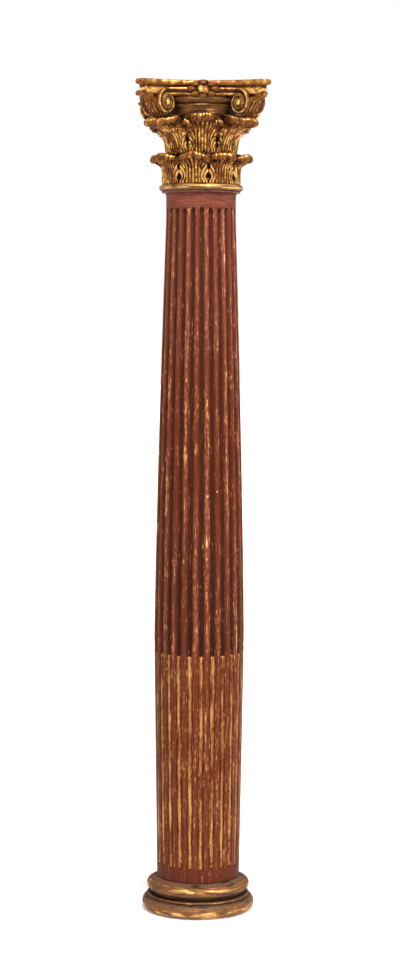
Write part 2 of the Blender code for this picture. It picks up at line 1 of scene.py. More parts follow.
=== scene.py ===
# %% [markdown]
# # A gilded wooden column, dressed
# The column is a carved and turned wooden pillar about 1.9 m tall: a turned base, a swelling shaft with
# flutes and gilded rods, and a capital of two rows of leaves, four corner scrolls and a hollow-sided abacus.
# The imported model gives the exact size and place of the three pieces. Everything here is built around it,
# in metres, in the same frame, so that each carved surface lies where its solid lies.

# %% Load the frame
import math

import bpy
import numpy as np
from mathutils import Matrix, Vector


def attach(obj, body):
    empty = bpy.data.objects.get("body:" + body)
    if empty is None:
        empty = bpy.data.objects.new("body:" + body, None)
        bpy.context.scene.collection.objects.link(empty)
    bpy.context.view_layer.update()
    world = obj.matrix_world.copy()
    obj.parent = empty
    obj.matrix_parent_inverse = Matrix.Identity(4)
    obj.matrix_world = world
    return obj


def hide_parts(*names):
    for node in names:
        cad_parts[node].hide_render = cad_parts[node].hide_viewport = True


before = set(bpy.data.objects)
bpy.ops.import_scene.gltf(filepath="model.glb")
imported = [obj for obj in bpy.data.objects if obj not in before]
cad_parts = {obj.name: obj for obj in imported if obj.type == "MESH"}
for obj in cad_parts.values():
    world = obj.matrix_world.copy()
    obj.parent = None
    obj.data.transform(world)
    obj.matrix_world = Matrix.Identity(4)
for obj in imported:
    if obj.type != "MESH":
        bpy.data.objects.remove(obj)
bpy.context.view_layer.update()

print("CAD nodes", sorted(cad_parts))

# %% [markdown]
# ## Tools for carving in numbers
# Each carved surface is a grid: rows follow a profile and columns go round the axis. A smooth curve through
# a few points gives the profile, and relief is added along the surface's own normal. A carved surface also
# carries two numbers per corner: crest, for what a hand or a cloth rubs, and hollow, for what holds dirt and
# for painted shade in recesses and under overhanging parts.

# %% Curves and noise
MM = 0.001
FULL_TURN = 2.0 * math.pi


def ease(value):
    """Goes from 0 to 1 with a soft start and a soft end."""
    value = np.clip(value, 0.0, 1.0)
    return value * value * (3.0 - 2.0 * value)


def smooth_path(points, count):
    """A smooth curve through the points, read at an even count of places."""
    knots = np.array(points, float)
    last = len(knots) - 1
    knots = np.vstack([2 * knots[0] - knots[1], knots, 2 * knots[-1] - knots[-2]])
    place = np.linspace(0, last, count)
    index = np.minimum(place.astype(int), last - 1)
    part = (place - index)[:, None]
    a, b, c, d = knots[index], knots[index + 1], knots[index + 2], knots[index + 3]
    curve = 2 * b + (c - a) * part + (2 * a - 5 * b + 4 * c - d) * part**2
    return 0.5 * (curve + (3 * b - a - 3 * c + d) * part**3)


def hump(values, centre, reach):
    """1 at a centre, fading to both sides: it is 0.37 at the reach."""
    return np.exp(-(((values - centre) / reach) ** 2))


def hand_noise(seed, angle, level, waves):
    """Slow, seeded unevenness, as a hand-held gouge leaves it. Level is in millimetres."""
    draw = np.random.default_rng(seed)
    total = 0.0
    for turns, length, size in waves:
        first, second = draw.uniform(0, FULL_TURN, 2)
        along = level * FULL_TURN / length
        total = total + size * np.sin(turns * angle + first + along) * np.cos(0.7 * along + second)
    return total


print("noise at one place", round(float(hand_noise(1, 0.0, 10.0, ((3, 90, 1.0),))), 3))

# %% Meshes from grids
def add_mesh(name, points, faces, attributes):
    """Makes a smooth-shaded mesh object with its crest and hollow numbers."""
    mesh = bpy.data.meshes.new(name)
    mesh.from_pydata(np.asarray(points).reshape(-1, 3).tolist(), [], faces)
    mesh.validate()
    for key, values in attributes.items():
        layer = mesh.attributes.new(key, "FLOAT", "POINT")
        layer.data.foreach_set("value", np.asarray(values, np.float32).ravel())
    mesh.shade_smooth()
    piece = bpy.data.objects.new(name, mesh)
    bpy.context.scene.collection.objects.link(piece)
    return piece


def grid_faces(rows, columns, loop_rows=False):
    """Faces of a grid whose columns go all the way round. Its rows meet again, or its ends are capped."""
    index = np.arange(rows * columns).reshape(rows, columns)
    lower = index if loop_rows else index[:-1]
    upper = np.roll(index, -1, axis=0) if loop_rows else index[1:]
    right = np.roll(lower, -1, axis=1)
    upper_right = np.roll(upper, -1, axis=1)
    faces = np.stack([lower, right, upper_right, upper], axis=-1).reshape(-1, 4).tolist()
    return faces if loop_rows else faces + [index[0, ::-1].tolist(), index[-1].tolist()]


def round_grid(name, points, crest, hollow, loop_rows=False):
    """A closed piece from one grid of points."""
    faces = grid_faces(points.shape[0], points.shape[1], loop_rows)
    return add_mesh(name, points, faces, {"crest": crest, "hollow": hollow})


def join_grids(name, grids):
    """Many small closed grids as one piece. Each grid is its points, crest and hollow numbers."""
    points, faces, crest, hollow = [], [], [], []
    start = 0
    for grid, rubbed, darkened in grids:
        rows, columns, _ = grid.shape
        faces += [[corner + start for corner in face] for face in grid_faces(rows, columns)]
        points.append(grid.reshape(-1, 3))
        crest.append(np.broadcast_to(rubbed, (rows, columns)).ravel())
        hollow.append(np.broadcast_to(darkened, (rows, columns)).ravel())
        start += rows * columns
    numbers = {"crest": np.concatenate(crest), "hollow": np.concatenate(hollow)}
    return add_mesh(name, np.vstack(points), faces, numbers)

# %% Turned pieces and their place
def round_axis(radius, angle, level):
    """Points in metres from radius and level in millimetres. The angle starts at the front."""
    return np.stack([radius * np.sin(angle), -radius * np.cos(angle), level], axis=-1) * MM


def turned(name, path, columns, crest, hollow, wobble, seed):
    """A turned piece: the path of radius and level, in millimetres, carried round the axis. Crest and
    hollow have a number for each point of the path, or for each corner of the whole grid."""
    angle = np.linspace(0, FULL_TURN, columns, endpoint=False)[None, :]
    ones = np.ones_like(angle)
    radius, level, crest, hollow = (
        values.reshape(len(path), -1) * ones for values in (path[:, 0], path[:, 1], crest, hollow)
    )
    uneven = wobble * hand_noise(seed, angle, level, ((3, 90, 1.0), (7, 37, 0.6), (13, 23, 0.4)))
    radius = radius + uneven * (radius > 5.0)
    return round_grid(name, round_axis(radius, angle, level), crest, hollow)


def place(piece, node, slot, material):
    """Gives a piece its finish, hangs it from the root and hides the solid that it stands for."""
    piece.data.materials.append(material)
    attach(piece, "root")
    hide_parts(node)
    print(piece.name, len(piece.data.polygons), "faces")

# %% [markdown]
# ## The camera
# The photograph was taken from about 5.2 m away with a short telephoto lens, at 1.38 m above the floor and
# looking down by four degrees. The column's front is turned a little to the right and the picture leans by a
# quarter of a degree. Those numbers come from the top and bottom edges of the rings, whose curves show how
# far above and below the eye they lie.

# %% Camera
LENS = 84.55
CAMERA_DISTANCE = 5.170
CAMERA_HEIGHT = 1.3759
CAMERA_PITCH = math.radians(4.1435)
CAMERA_AZIMUTH = math.radians(-1.65)
CAMERA_ROLL = math.radians(0.26)

camera = bpy.data.objects.new("camera", bpy.data.cameras.new("camera"))
bpy.context.scene.collection.objects.link(camera)
camera.data.lens = LENS
camera.data.sensor_width = 36.0
turn = Matrix.Rotation(CAMERA_AZIMUTH, 4, "Z")
tilt = Matrix.Rotation(math.radians(90.0) - CAMERA_PITCH, 4, "X")
roll = Matrix.Rotation(CAMERA_ROLL, 4, "Z")
stand = Matrix.Translation(turn @ Vector((0.0005, -CAMERA_DISTANCE, CAMERA_HEIGHT)))
camera.matrix_world = stand @ turn @ tilt @ roll
bpy.context.scene.camera = camera
print("camera at", [round(value, 3) for value in camera.location])

# %% [markdown]
# ## The studio
# A white floor runs into a white room, as in a product photograph. A wide soft lamp above and in front gives
# the long highlights on the gold and leaves the undersides dark. A weaker one straight above lights the top
# edges, and a weak fill without a shadow comes from the front. The room looks brighter than it lights.

# %% Colours and nodes
def linear(code):
    """Turns an sRGB hex colour into the linear numbers that a shader needs."""
    values = [int(code[place : place + 2], 16) / 255.0 for place in (1, 3, 5)]
    spread = [value / 12.92 if value <= 0.04045 else ((value + 0.055) / 1.055) ** 2.4 for value in values]
    return (*spread, 1.0)


def add_node(tree, kind, settings=None, links=None):
    """Adds a node, sets its properties and sockets, links other nodes to it and returns its outputs."""
    node = tree.nodes.new("ShaderNode" + kind)
    for key, value in (settings or {}).items():
        if isinstance(key, str) and hasattr(node, key):
            setattr(node, key, value)
        else:
            node.inputs[key].default_value = value
    for key, source in (links or {}).items():
        tree.links.new(source, node.inputs[key])
    return node.outputs


print("clay as linear numbers", [round(value, 3) for value in linear("#663719")])

# %% Room and floor
scene = bpy.context.scene
scene.view_settings.view_transform = "Standard"
world = bpy.data.worlds.new("white room")
scene.world = world
world.use_nodes = True
tree = world.node_tree
room = tree.nodes["Background"]
room.inputs["Color"].default_value = linear("#FFF9F2")
room.inputs["Strength"].default_value = 0.37
backdrop = add_node(tree, "Background", {"Color": linear("#FFFFFF"), "Strength": 1.0})[0]
seen = add_node(tree, "LightPath")["Is Camera Ray"]
both = add_node(tree, "MixShader", {}, {0: seen, 1: room.outputs[0], 2: backdrop})[0]
tree.links.new(both, tree.nodes["World Output"].inputs["Surface"])

floor_mesh = bpy.data.meshes.new("floor")
FLOOR_REACH = 40.0
floor_corners = [(x * FLOOR_REACH, y * FLOOR_REACH, 0.0) for x, y in ((-1, -1), (1, -1), (1, 1), (-1, 1))]
floor_mesh.from_pydata(floor_corners, [], [(0, 1, 2, 3)])
floor = bpy.data.objects.new("floor", floor_mesh)
scene.collection.objects.link(floor)
paper = bpy.data.materials.new("white studio paper")
paper.use_nodes = True
paper_shader = paper.node_tree.nodes["Principled BSDF"]
paper_shader.inputs["Base Color"].default_value = linear("#F8F8F7")
paper_shader.inputs["Roughness"].default_value = 0.8
# A faint glow, as of a floor lit from below, keeps the shadow as pale as in the photograph.
paper_shader.inputs["Emission Color"].default_value = linear("#FFFFFF")
paper_shader.inputs["Emission Strength"].default_value = 0.22
floor_mesh.materials.append(paper)
print("room strength", room.inputs["Strength"].default_value)

# %% Lamps
def add_lamp(name, direction, power, spread, shadow=True):
    """A soft lamp, aimed along a direction. Spread is its softness as an angle, in degrees."""
    data = bpy.data.lights.new(name, "SUN")
    data.energy = power
    data.angle = math.radians(spread)
    data.use_shadow = shadow
    lamp = bpy.data.objects.new(name, data)
    scene.collection.objects.link(lamp)
    lamp.rotation_euler = Vector(direction).to_track_quat("-Z", "Y").to_euler()


add_lamp("ceiling softbox", (-0.22, 0.66, -1.0), 3.1, 40.0)
add_lamp("front fill", (-0.70, 1.0, -0.20), 0.34, 80.0, shadow=False)
add_lamp("overhead wash", (0.0, 0.12, -1.0), 0.90, 60.0)
print("lamps", [light.name for light in bpy.data.lights])

# %% [markdown]
# ## Gold leaf over red clay
# The carving is water gilded: a coat of red clay, then leaf gold, rubbed and toned with age. Leaf is a true
# metal, so it is metallic. It is burnished on the crests and dull in the hollows, which keep a dark patina of
# wax and dust; the same dark colour is also laid as painted shade where the carving is closed in. Where it is
# worn the clay shows, brown and matt. The mesh's crest and hollow numbers say which is where. Worn patches
# are about 13 mm on the carving. On the mouldings, where a cloth was drawn round them, they are about 42 mm
# wide and 6 mm tall. A finer grain of 3.5 mm breaks their edges.

# %% How a gilded surface is made
GRAIN = 0.0035
# How far the occlusion test looks, in metres. It darkens closed-in places as patina and as painted shade.
OCCLUSION_REACH = 0.014


def finish_with(material, **sources):
    """Links the colour, metal, roughness and bump of a finish to its shader."""
    names = {"colour": "Base Color", "metal": "Metallic", "dull": "Roughness", "bump": "Normal"}
    tree = material.node_tree
    for key, source in sources.items():
        tree.links.new(source, tree.nodes["Principled BSDF"].inputs[names[key]])


def gilding(name, bright, middle, clay, patina, wear, size, flat=1.0, uneven=1.7, stain=0.55):
    """Gold leaf over clay, with patina and painted shade in the hollows. Wear is how much leaf is lost, size
    that of the worn patches in metres, flat how much wider than tall they are, uneven how strongly they show,
    and stain how dark the darkest of them get."""
    material = bpy.data.materials.new(name)
    material.use_nodes = True
    tree = material.node_tree
    where = add_node(tree, "TexCoord")["Object"]
    where = add_node(tree, "Mapping", {"Scale": (1.0, 1.0, flat)}, {"Vector": where})[0]
    crest = add_node(tree, "Attribute", {"attribute_name": "crest"})["Fac"]
    hollow = add_node(tree, "Attribute", {"attribute_name": "hollow"})["Fac"]
    noise = {"Scale": 1.0 / size, "Detail": 5.0, "Roughness": 0.62}
    patch = add_node(tree, "TexNoise", noise, {"Vector": where})["Fac"]
    noise = {"Scale": 1.0 / GRAIN, "Detail": 3.0, "Roughness": 0.7}
    grain = add_node(tree, "TexNoise", noise, {"Vector": where})["Fac"]
    occlusion_settings = {"Distance": OCCLUSION_REACH, "samples": 8, "only_local": True}
    occlusion = add_node(tree, "AmbientOcclusion", occlusion_settings)["AO"]
    # A crest is rubbed, and more so where the noise is high. Leaf is whole above wear, and shines above that.
    spread = add_node(tree, "Math", {"operation": "MULTIPLY_ADD", 1: uneven}, {0: patch, 2: crest})[0]
    rub = add_node(tree, "Math", {"operation": "MULTIPLY_ADD", 1: 0.5}, {0: grain, 2: spread})[0]
    leaf = add_node(tree, "MapRange", {"From Min": wear + 0.25, "From Max": wear + 0.75}, {"Value": rub})[0]
    shine = add_node(tree, "MapRange", {"From Min": wear + 0.80, "From Max": wear + 1.15}, {"Value": rub})[0]
    low = {"data_type": "RGBA", 6: linear(clay), 7: linear(middle)}
    low = add_node(tree, "Mix", low, {0: leaf})[2]
    gold = add_node(tree, "Mix", {"data_type": "RGBA", 7: linear(bright)}, {0: shine, 6: low})[2]
    # Patina and painted shade: the dark colour lies where the occlusion test finds the surface closed in and
    # where the hollow number is high, and stains lie where the noise is lowest.
    open_share = add_node(tree, "MapRange", {"From Min": 0.30, "From Max": 0.92}, {"Value": occlusion})[0]
    lost = {"From Min": 0.46, "From Max": 0.34, "To Max": stain}
    lost = add_node(tree, "MapRange", lost, {"Value": patch})[0]
    dark = add_node(tree, "Math", {"operation": "ADD"}, {0: hollow, 1: lost})[0]
    clean_and_unshaded = add_node(tree, "Math", {"operation": "SUBTRACT", "use_clamp": True}, {0: open_share, 1: dark})[0]
    colour = add_node(tree, "Mix", {"data_type": "RGBA", 6: linear(patina)}, {0: clean_and_unshaded, 7: gold})[2]
    metal = add_node(tree, "Math", {"operation": "MULTIPLY"}, {0: clean_and_unshaded, 1: leaf})[0]
    metal = add_node(tree, "Math", {"operation": "MULTIPLY", 1: 0.85}, {0: metal})[0]
    dull = add_node(tree, "MapRange", {"To Min": 0.62, "To Max": 0.34}, {"Value": shine})[0]
    bump = add_node(tree, "Bump", {"Strength": 0.5, "Distance": 0.0012}, {"Height": rub})[0]
    finish_with(material, colour=colour, metal=metal, dull=dull, bump=bump)
    tree.nodes["Principled BSDF"].inputs["Specular IOR Level"].default_value = 0.2
    return material

# %% Two gildings
# Bright leaf on ridges over brown patches gives the eye sharp glints on dark, deep carving.
carved_gold = gilding(
    "gold leaf on carving", "#F6BE6A", "#985C28", "#663719", "#1E0D04", wear=0.86, size=0.013
)
# Long level streaks of worn leaf over dusty clay give the eye the dull sheen of handled mouldings.
turned_gold = gilding(
    "gold leaf on turned mouldings", "#EFBE76", "#8E5C36", "#745340", "#352013",
    wear=1.34, size=0.042, flat=7.5, uneven=2.4, stain=0.90,
)
print("gilding finishes", carved_gold.name, turned_gold.name)

# %% [markdown]
# ## Red paint on the shaft
# The shaft is painted with a red-brown earth colour in size, brushed along its length. The paint is thin and
# matt, and it is worn to orange and tan on the narrow strips between the flutes. The flutes themselves are
# darker: dirt and wax settle on their floors, and painted shade lies along their walls, under their round
# tops and beside the rods. The streaks are about 3.5 mm wide and 55 mm long, and the paint flakes off in
# bits of 3.6 by 11 mm. A knot and three chips lie where the real shaft has them.

# %% Marks and sizes of the wear
# Marks on the front of the shaft: how far to the right of the middle, level and size, in metres.
CHIPS = ((-0.0790, 0.925, 0.0060), (0.0396, 0.979, 0.0030), (0.0174, 0.9686, 0.0040))
KNOT = (0.0302, 0.957, 0.010)
MARK_RADIUS = 0.0975
# Streaks, brush strokes, wide patches and flakes: size round the shaft and along it, detail, roughness.
PAINT_NOISES = (
    (0.0035, 0.055, 4.0, 0.60),
    (0.030, 0.004, 4.0, 0.65),
    (0.060, 0.060, 4.0, 0.60),
    (0.0036, 0.011, 2.0, 0.65),
)
# Laid over the paint in this order: dirt and painted shade, thinned paint, worn paint, bare wood, the knot
# and gold leaf.
PAINT_COVERS = ("#280C05", "#A8644C", "#B8764C", "#ECB985", "#4A2416", "#D29A56")


def near_mark(tree, where, across, level, size):
    """0.7 at a mark on the front of the shaft, fading to nothing at its size."""
    depth = math.sqrt(MARK_RADIUS**2 - across**2)
    centre = Matrix.Rotation(CAMERA_AZIMUTH, 3, "Z") @ Vector((across, -depth, level))
    away = add_node(tree, "VectorMath", {"operation": "DISTANCE", 1: centre}, {0: where})["Value"]
    fade = {"From Min": size, "From Max": 0.3 * size, "To Max": 0.7}
    return add_node(tree, "MapRange", fade, {"Value": away})[0]


print("chips", len(CHIPS), "paint noises", len(PAINT_NOISES))

# %% Painted wood
def red_paint(name):
    """Worn earth-red paint on turned and fluted wood, with leaf gold rubbed onto the rods."""
    material = bpy.data.materials.new(name)
    material.use_nodes = True
    tree = material.node_tree
    where = add_node(tree, "TexCoord")["Object"]
    numbers = ("crest", "hollow", "gilt", "band")
    numbers = [add_node(tree, "Attribute", {"attribute_name": key})["Fac"] for key in numbers]
    crest, hollow, gilt, band = numbers
    noises = []
    for wide, tall, detail, roughness in PAINT_NOISES:
        sized = add_node(tree, "Mapping", {"Scale": (1 / wide, 1 / wide, 1 / tall)}, {"Vector": where})[0]
        noise = {"Scale": 1.0, "Detail": detail, "Roughness": roughness}
        noises.append(add_node(tree, "TexNoise", noise, {"Vector": sized})["Fac"])
    streak, brush, patch, speck = noises
    tone = add_node(tree, "MapRange", {"From Min": 0.22, "From Max": 0.78}, {"Value": streak})[0]
    shades = {"data_type": "RGBA", 6: linear("#401506"), 7: linear("#783417")}
    paint = add_node(tree, "Mix", shades, {0: tone})[2]
    # The neck has no flutes and was brushed level, which shows as dusty strokes.
    neck = add_node(tree, "Math", {"operation": "POWER", 1: 6.0}, {0: band})[0]
    strokes = add_node(tree, "MapRange", {"From Min": 0.38, "From Max": 0.62}, {"Value": brush})[0]
    strokes = add_node(tree, "Math", {"operation": "MULTIPLY"}, {0: strokes, 1: neck})[0]
    shades = {"data_type": "RGBA", 6: linear("#70382A"), 7: linear("#90503E")}
    dusty = add_node(tree, "Mix", shades, {0: strokes})[2]
    paint = add_node(tree, "Mix", {"data_type": "RGBA"}, {0: band, 6: paint, 7: dusty})[2]
    # Dirt and painted shade in the hollows, then wear: noise and crest together rub the paint thin and off.
    soot_and_shade = add_node(tree, "Math", {"operation": "MULTIPLY", 1: 0.92}, {0: hollow})[0]
    # Each noise lies about 0.5, so half of their shares is taken off again.
    rub = add_node(tree, "Math", {"operation": "MULTIPLY_ADD", 1: 0.9, 2: -2.85}, {0: patch})[0]
    for noise, share in ((speck, 2.2), (streak, 2.6)):
        rub = add_node(tree, "Math", {"operation": "MULTIPLY_ADD", 1: share}, {0: noise, 2: rub})[0]
    edges = add_node(tree, "Math", {"operation": "ADD"}, {0: rub, 1: crest})[0]
    edges = add_node(tree, "Math", {"operation": "MULTIPLY_ADD", 1: -0.45}, {0: neck, 2: edges})[0]
    thin = add_node(tree, "Math", {"operation": "MULTIPLY_ADD", 1: 0.9, 2: 0.30}, {0: band})[0]
    thin = add_node(tree, "Math", {"operation": "MULTIPLY"}, {0: crest, 1: thin})[0]
    worn = {"From Min": 0.40, "From Max": 0.95, "To Max": 0.85}
    worn = add_node(tree, "MapRange", worn, {"Value": edges})[0]
    bare = add_node(tree, "MapRange", {"From Min": 0.85, "From Max": 1.25}, {"Value": edges})[0]
    for chip in CHIPS:
        links = {0: bare, 1: near_mark(tree, where, *chip)}
        bare = add_node(tree, "Math", {"operation": "MAXIMUM"}, links)[0]
    knot = near_mark(tree, where, *KNOT)
    knot = add_node(tree, "Math", {"operation": "MULTIPLY", 1: 0.6}, {0: knot})[0]
    leafed = add_node(tree, "Math", {"operation": "MULTIPLY_ADD", 1: 0.60}, {0: rub, 2: gilt})[0]
    gold = add_node(tree, "MapRange", {"From Min": 0.30, "From Max": 1.15}, {"Value": leafed})[0]
    for cover, shade in zip((soot_and_shade, thin, worn, bare, knot, gold), PAINT_COVERS):
        paint = add_node(tree, "Mix", {"data_type": "RGBA", 7: linear(shade)}, {0: cover, 6: paint})[2]
    metal = add_node(tree, "Math", {"operation": "MULTIPLY", 1: 0.7}, {0: gold})[0]
    dull = add_node(tree, "MapRange", {"To Min": 0.62, "To Max": 0.42}, {"Value": gold})[0]
    height = add_node(tree, "Math", {"operation": "ADD"}, {0: streak, 1: speck})[0]
    bump = add_node(tree, "Bump", {"Strength": 0.35, "Distance": 0.0008}, {"Height": height})[0]
    finish_with(material, colour=paint, metal=metal, dull=dull, bump=bump)
    tree.nodes["Principled BSDF"].inputs["Specular IOR Level"].default_value = 0.12
    return material


# Dry, streaky red-brown with pale edges and dark flutes gives the eye old, handled paint.
painted_wood = red_paint("worn earth-red paint on wood")
print("paint finish", painted_wood.name)

# %% [markdown]
# ## The turned base
# The base was turned on a lathe as one disc: a thick lower round, a thin fillet, a hollow, another fillet, a
# smaller upper round, and a soft sloping shelf that the shaft stands on. A path of radius and level carried
# round the axis is exactly what the lathe does. Only the fronts of the rounds still carry bright leaf.

# %% Base
def round_nose(equator, level, tube, start, end, count):
    """Points of a half-round moulding, from an angle below its equator to one above, in degrees."""
    turns = np.radians(np.linspace(start, end, count))
    return np.stack([equator - tube + tube * np.cos(turns), level + tube * np.sin(turns)], axis=-1)


def base_path():
    """The lathe's path up the base, with how rubbed and how dark each point is."""
    parts = [
        ([(0.5, 0.0), (60.0, 0.0), (108.0, 0.0)], 0.1, 0.3),
        (round_nose(129.6, 17.0, 17.0, -86.0, 88.0, 30), 0.72, 0.0),
        ([(114.5, 34.2), (118.0, 34.6), (118.2, 36.4), (117.6, 38.2)], 0.62, 0.1),
        ([(108.5, 38.7), (105.5, 40.0), (104.6, 41.6), (105.4, 43.4)], 0.10, 0.30),
        ([(109.0, 44.0), (109.6, 44.8), (109.4, 46.4)], 0.55, 0.1),
        (round_nose(118.8, 59.0, 12.6, -82.0, 74.0, 26), 0.66, 0.0),
        ([(109.6, 70.4), (108.6, 71.4), (104.0, 73.6), (100.0, 75.4)], 0.16, 0.22),
        ([(96.4, 77.1), (90.0, 77.4), (0.5, 77.4)], 0.16, 0.22),
    ]
    path, crest, hollow = [], [], []
    for points, rubbed, darkened in parts:
        path.append(points)
        crest.append(np.full(len(points), rubbed))
        hollow.append(np.full(len(points), darkened))
    return np.vstack(path), np.concatenate(crest), np.concatenate(hollow)


path, crest, hollow = base_path()
level = path[:, 1]
lower_round = (level > 2.0) & (level < 34.0)
crest[lower_round] = 0.25 + 0.55 * hump(level[lower_round], 13.0, 10.0)
hollow[lower_round] = 0.6 * ease((level[lower_round] - 27.0) / 5.0)
hollow[lower_round] += 0.6 * ease((4.0 - level[lower_round]) / 4.0)
upper_round = (level > 46.5) & (level < 71.6)
crest[upper_round] = 0.30 + 0.45 * hump(level[upper_round], 63.0, 6.0)
hollow[upper_round] = 0.45 * ease((54.0 - level[upper_round]) / 5.0)
hollow[upper_round] += 0.2 * ease(level[upper_round] - 69.6)
# The rim of the shelf is rubbed too.
crest += 0.45 * hump(level, 70.6, 0.9)
base = turned("turned_base", path, 320, crest, hollow, wobble=0.18, seed=11)
place(base, "base", "gilded_wood", turned_gold)

# %% [markdown]
# ## The fluted shaft
# The shaft swells a little at a third of its height and narrows to the neck. Twenty-four flutes were cut by
# hand with a gouge, so their edges wander by half a millimetre. Below a third of the height a rod fills each
# flute. One grid of 384 columns holds it all, with rows crowded where the flutes start and end.

# %% The shaft's outline
FLUTES = 24
FLUTE_COLUMNS = 16
SHAFT_TOP = 1655.0
# Levels in millimetres from the foot up, and how many rows lie between them.
SHAFT_ROWS = (
    (77.8, 106.0, 12),
    (106.0, 120.0, 14),
    (120.0, 592.0, 62),
    (592.0, 612.0, 18),
    (612.0, 1604.0, 104),
    (1604.0, 1624.0, 18),
    (1624.0, 1645.0, 8),
    (1645.0, SHAFT_TOP, 5),
)


def shaft_radius(level):
    """Radius over the fillets, in millimetres: a belly at 640 mm and a neck of 79.5 mm."""
    above = 103.6 - 24.1 * np.clip((level - 640.0) / 960.0, 0.0, 1.0) ** 1.30
    below = 103.6 - 8.4 * np.clip((640.0 - level) / 562.5, 0.0, 1.0) ** 1.10
    flare = 1.2 * ease((level - 1642.0) / 12.0)
    return np.where(level >= 640.0, above, below) + flare


print("radius at foot, belly and neck", shaft_radius(np.array([78.0, 640.0, 1600.0])))

# %% Shaft
def flute_noise(seed, which, level, waves):
    """Unevenness that differs from flute to flute and changes slowly along each."""
    return hand_noise(seed, which, level, [(1, length, size) for length, size in waves])


def build_shaft():
    """The shaft's grid, with crest, hollow, gilt and band numbers."""
    runs = [np.linspace(low, high, count, endpoint=False) for low, high, count in SHAFT_ROWS]
    level = np.append(np.concatenate(runs), SHAFT_TOP)
    columns = FLUTES * FLUTE_COLUMNS
    angle, level = np.meshgrid(np.linspace(0, FULL_TURN, columns, endpoint=False), level)
    radius = shaft_radius(level)
    pitch = FULL_TURN / FLUTES
    # The flutes lean a little: they turn by two degrees from foot to top.
    drift = np.radians(2.1) * (1.0 - level / SHAFT_TOP) - np.radians(0.2)
    which = np.round((angle - drift) / pitch)
    wander = 0.45 * flute_noise(21, which * 5.3, level, ((410, 1.0), (170, 0.7), (73, 0.45)))
    across = ((angle - drift) / pitch - which) * pitch * radius + wander
    half = 0.275 * pitch * radius
    half = half * (1.0 + 0.07 * flute_noise(22, which * 3.1, level, ((330, 1.0), (120, 0.8))))
    once = ((99, 1.0),)
    top = 1620.0 + 2.2 * flute_noise(23, which * 4.7, 0.0, once)
    foot = 108.0 + 2.0 * flute_noise(24, which * 2.9, 0.0, once)
    rod_top = 604.0 + 1.5 * flute_noise(26, which * 6.1, 0.0, once)
    # Each flute is a round gouge cut with round ends. Inside is 0 at its edge and 1 along its middle.
    past = np.maximum(level - (top - half), 0.0) + np.maximum((foot + half) - level, 0.0)
    reach = np.hypot(across, past) / half
    inside = 1.0 - reach
    cut = np.sqrt(np.clip(inside * (2.0 - inside), 0.0, 1.0))
    depth = 5.0 * (1.0 + 0.12 * flute_noise(25, which * 7.7, level, ((260, 1.0), (90, 0.6)))) * cut
    # Below, a round rod fills the flute and leaves a narrow groove on both sides.
    rod_half = 0.80 * half
    rod_past = np.maximum(level - (rod_top - rod_half), 0.0) + np.maximum(foot + half - level, 0.0)
    rod_in = 1.0 - np.hypot(across, rod_past) / rod_half
    rod = np.sqrt(np.clip(rod_in * (2.0 - rod_in), 0.0, 1.0))
    below = level < rod_top
    groove = 3.4 * ease(inside / 0.16)
    sunk = np.where(below, np.minimum(depth, groove), depth)
    sunk = np.where(below & (rod > 0.0), groove - (groove - 0.3) * rod**1.3, sunk)
    rough = hand_noise(27, angle * 40.0, level, ((1, 37, 0.5), (2, 91, 0.5), (3, 19, 0.35)))
    surface = radius - sunk + 0.10 * rough
    # The strips between flutes are rubbed, most along their middle and at the flutes' edges.
    fluted = ease((level - foot) / 6.0) * ease((top - level) / 6.0)
    strip = np.floor((angle - drift) / pitch) * 9.1
    strength = 0.85 + 0.45 * hand_noise(28, strip, 0.2 * level, ((1, 210, 1.0), (3, 90, 0.7)))
    crest = 0.52 * hump(reach, 1.68, 0.27) + 0.34 * hump(reach, 1.12, 0.16)
    crest = crest * fluted * strength * (1.0 - 0.45 * below)
    # Painted shade lies along the walls and under the round top. The floor holds dirt, most of all just above
    # the rods.
    painted_shade_under_top = ease((level - top + 16.0) / 12.0) * ease(inside / 0.2)
    low = ease((level - rod_top) / 4.0) * ease((rod_top + 75.0 - level) / 60.0)
    flute_dirt_and_shade = 0.35 * hump(inside, 0.10, 0.13) + 0.8 * painted_shade_under_top
    flute_dirt_and_shade = np.clip(flute_dirt_and_shade + (0.74 + 0.26 * low) * ease((inside - 0.10) / 0.42), 0.0, 1.0)
    # Beside each rod the narrow groove is painted dark, as painted shade.
    hollow = np.where(below & (rod > 0.0), 0.9 * hump(rod_in, 0.04, 0.10), flute_dirt_and_shade)
    # Leaf gold is left on the rods. Their tips carry a painted highlight: more gilt and more crest there make
    # them read pale and gold.
    leafed = 0.72 + 0.30 * hand_noise(29, which * 5.9, 0.3 * level, ((1, 130, 1.0), (3, 51, 0.6)))
    tip = hump(level, rod_top - 2.0, 3.0) * (rod > 0.05)
    gilt = np.where(below, np.maximum(rod**2 * leafed, 0.10 * fluted), -0.15) + 0.3 * tip
    # Painted highlight: the crest is raised on the rod tips, so they read pale.
    crest = crest + 0.7 * tip
    # Band is 1 on the plain neck, and part of its dusty tone reaches down the shaft and up from the foot.
    at_foot = ease((foot + 6.0 - level) / 10.0)
    band = np.maximum(ease((level - 1617.0) / 4.0), 0.50 * ease((level - 1100.0) / 500.0))
    band = np.maximum(band, 0.25 * at_foot)
    smoky = 0.16 * hump(level, 730.0, 130.0) * (1.0 - below)
    # Painted shade under the neck ring and along the lower edge of the neck band.
    neck_painted_shade = 0.50 * hump(level, 1652.0, 5.0) + 0.30 * hump(level, top + 4.0, 3.0)
    hollow = hollow * (1.0 - 0.30 * band) + neck_painted_shade + 0.22 * at_foot + smoky
    numbers = {"crest": crest, "hollow": np.clip(hollow, 0.0, 1.0), "gilt": gilt, "band": band}
    points = round_axis(surface, angle, level)
    return add_mesh("fluted_shaft", points, grid_faces(len(level), columns), numbers)


shaft = build_shaft()
place(shaft, "shaft", "red_painted_wood", painted_wood)

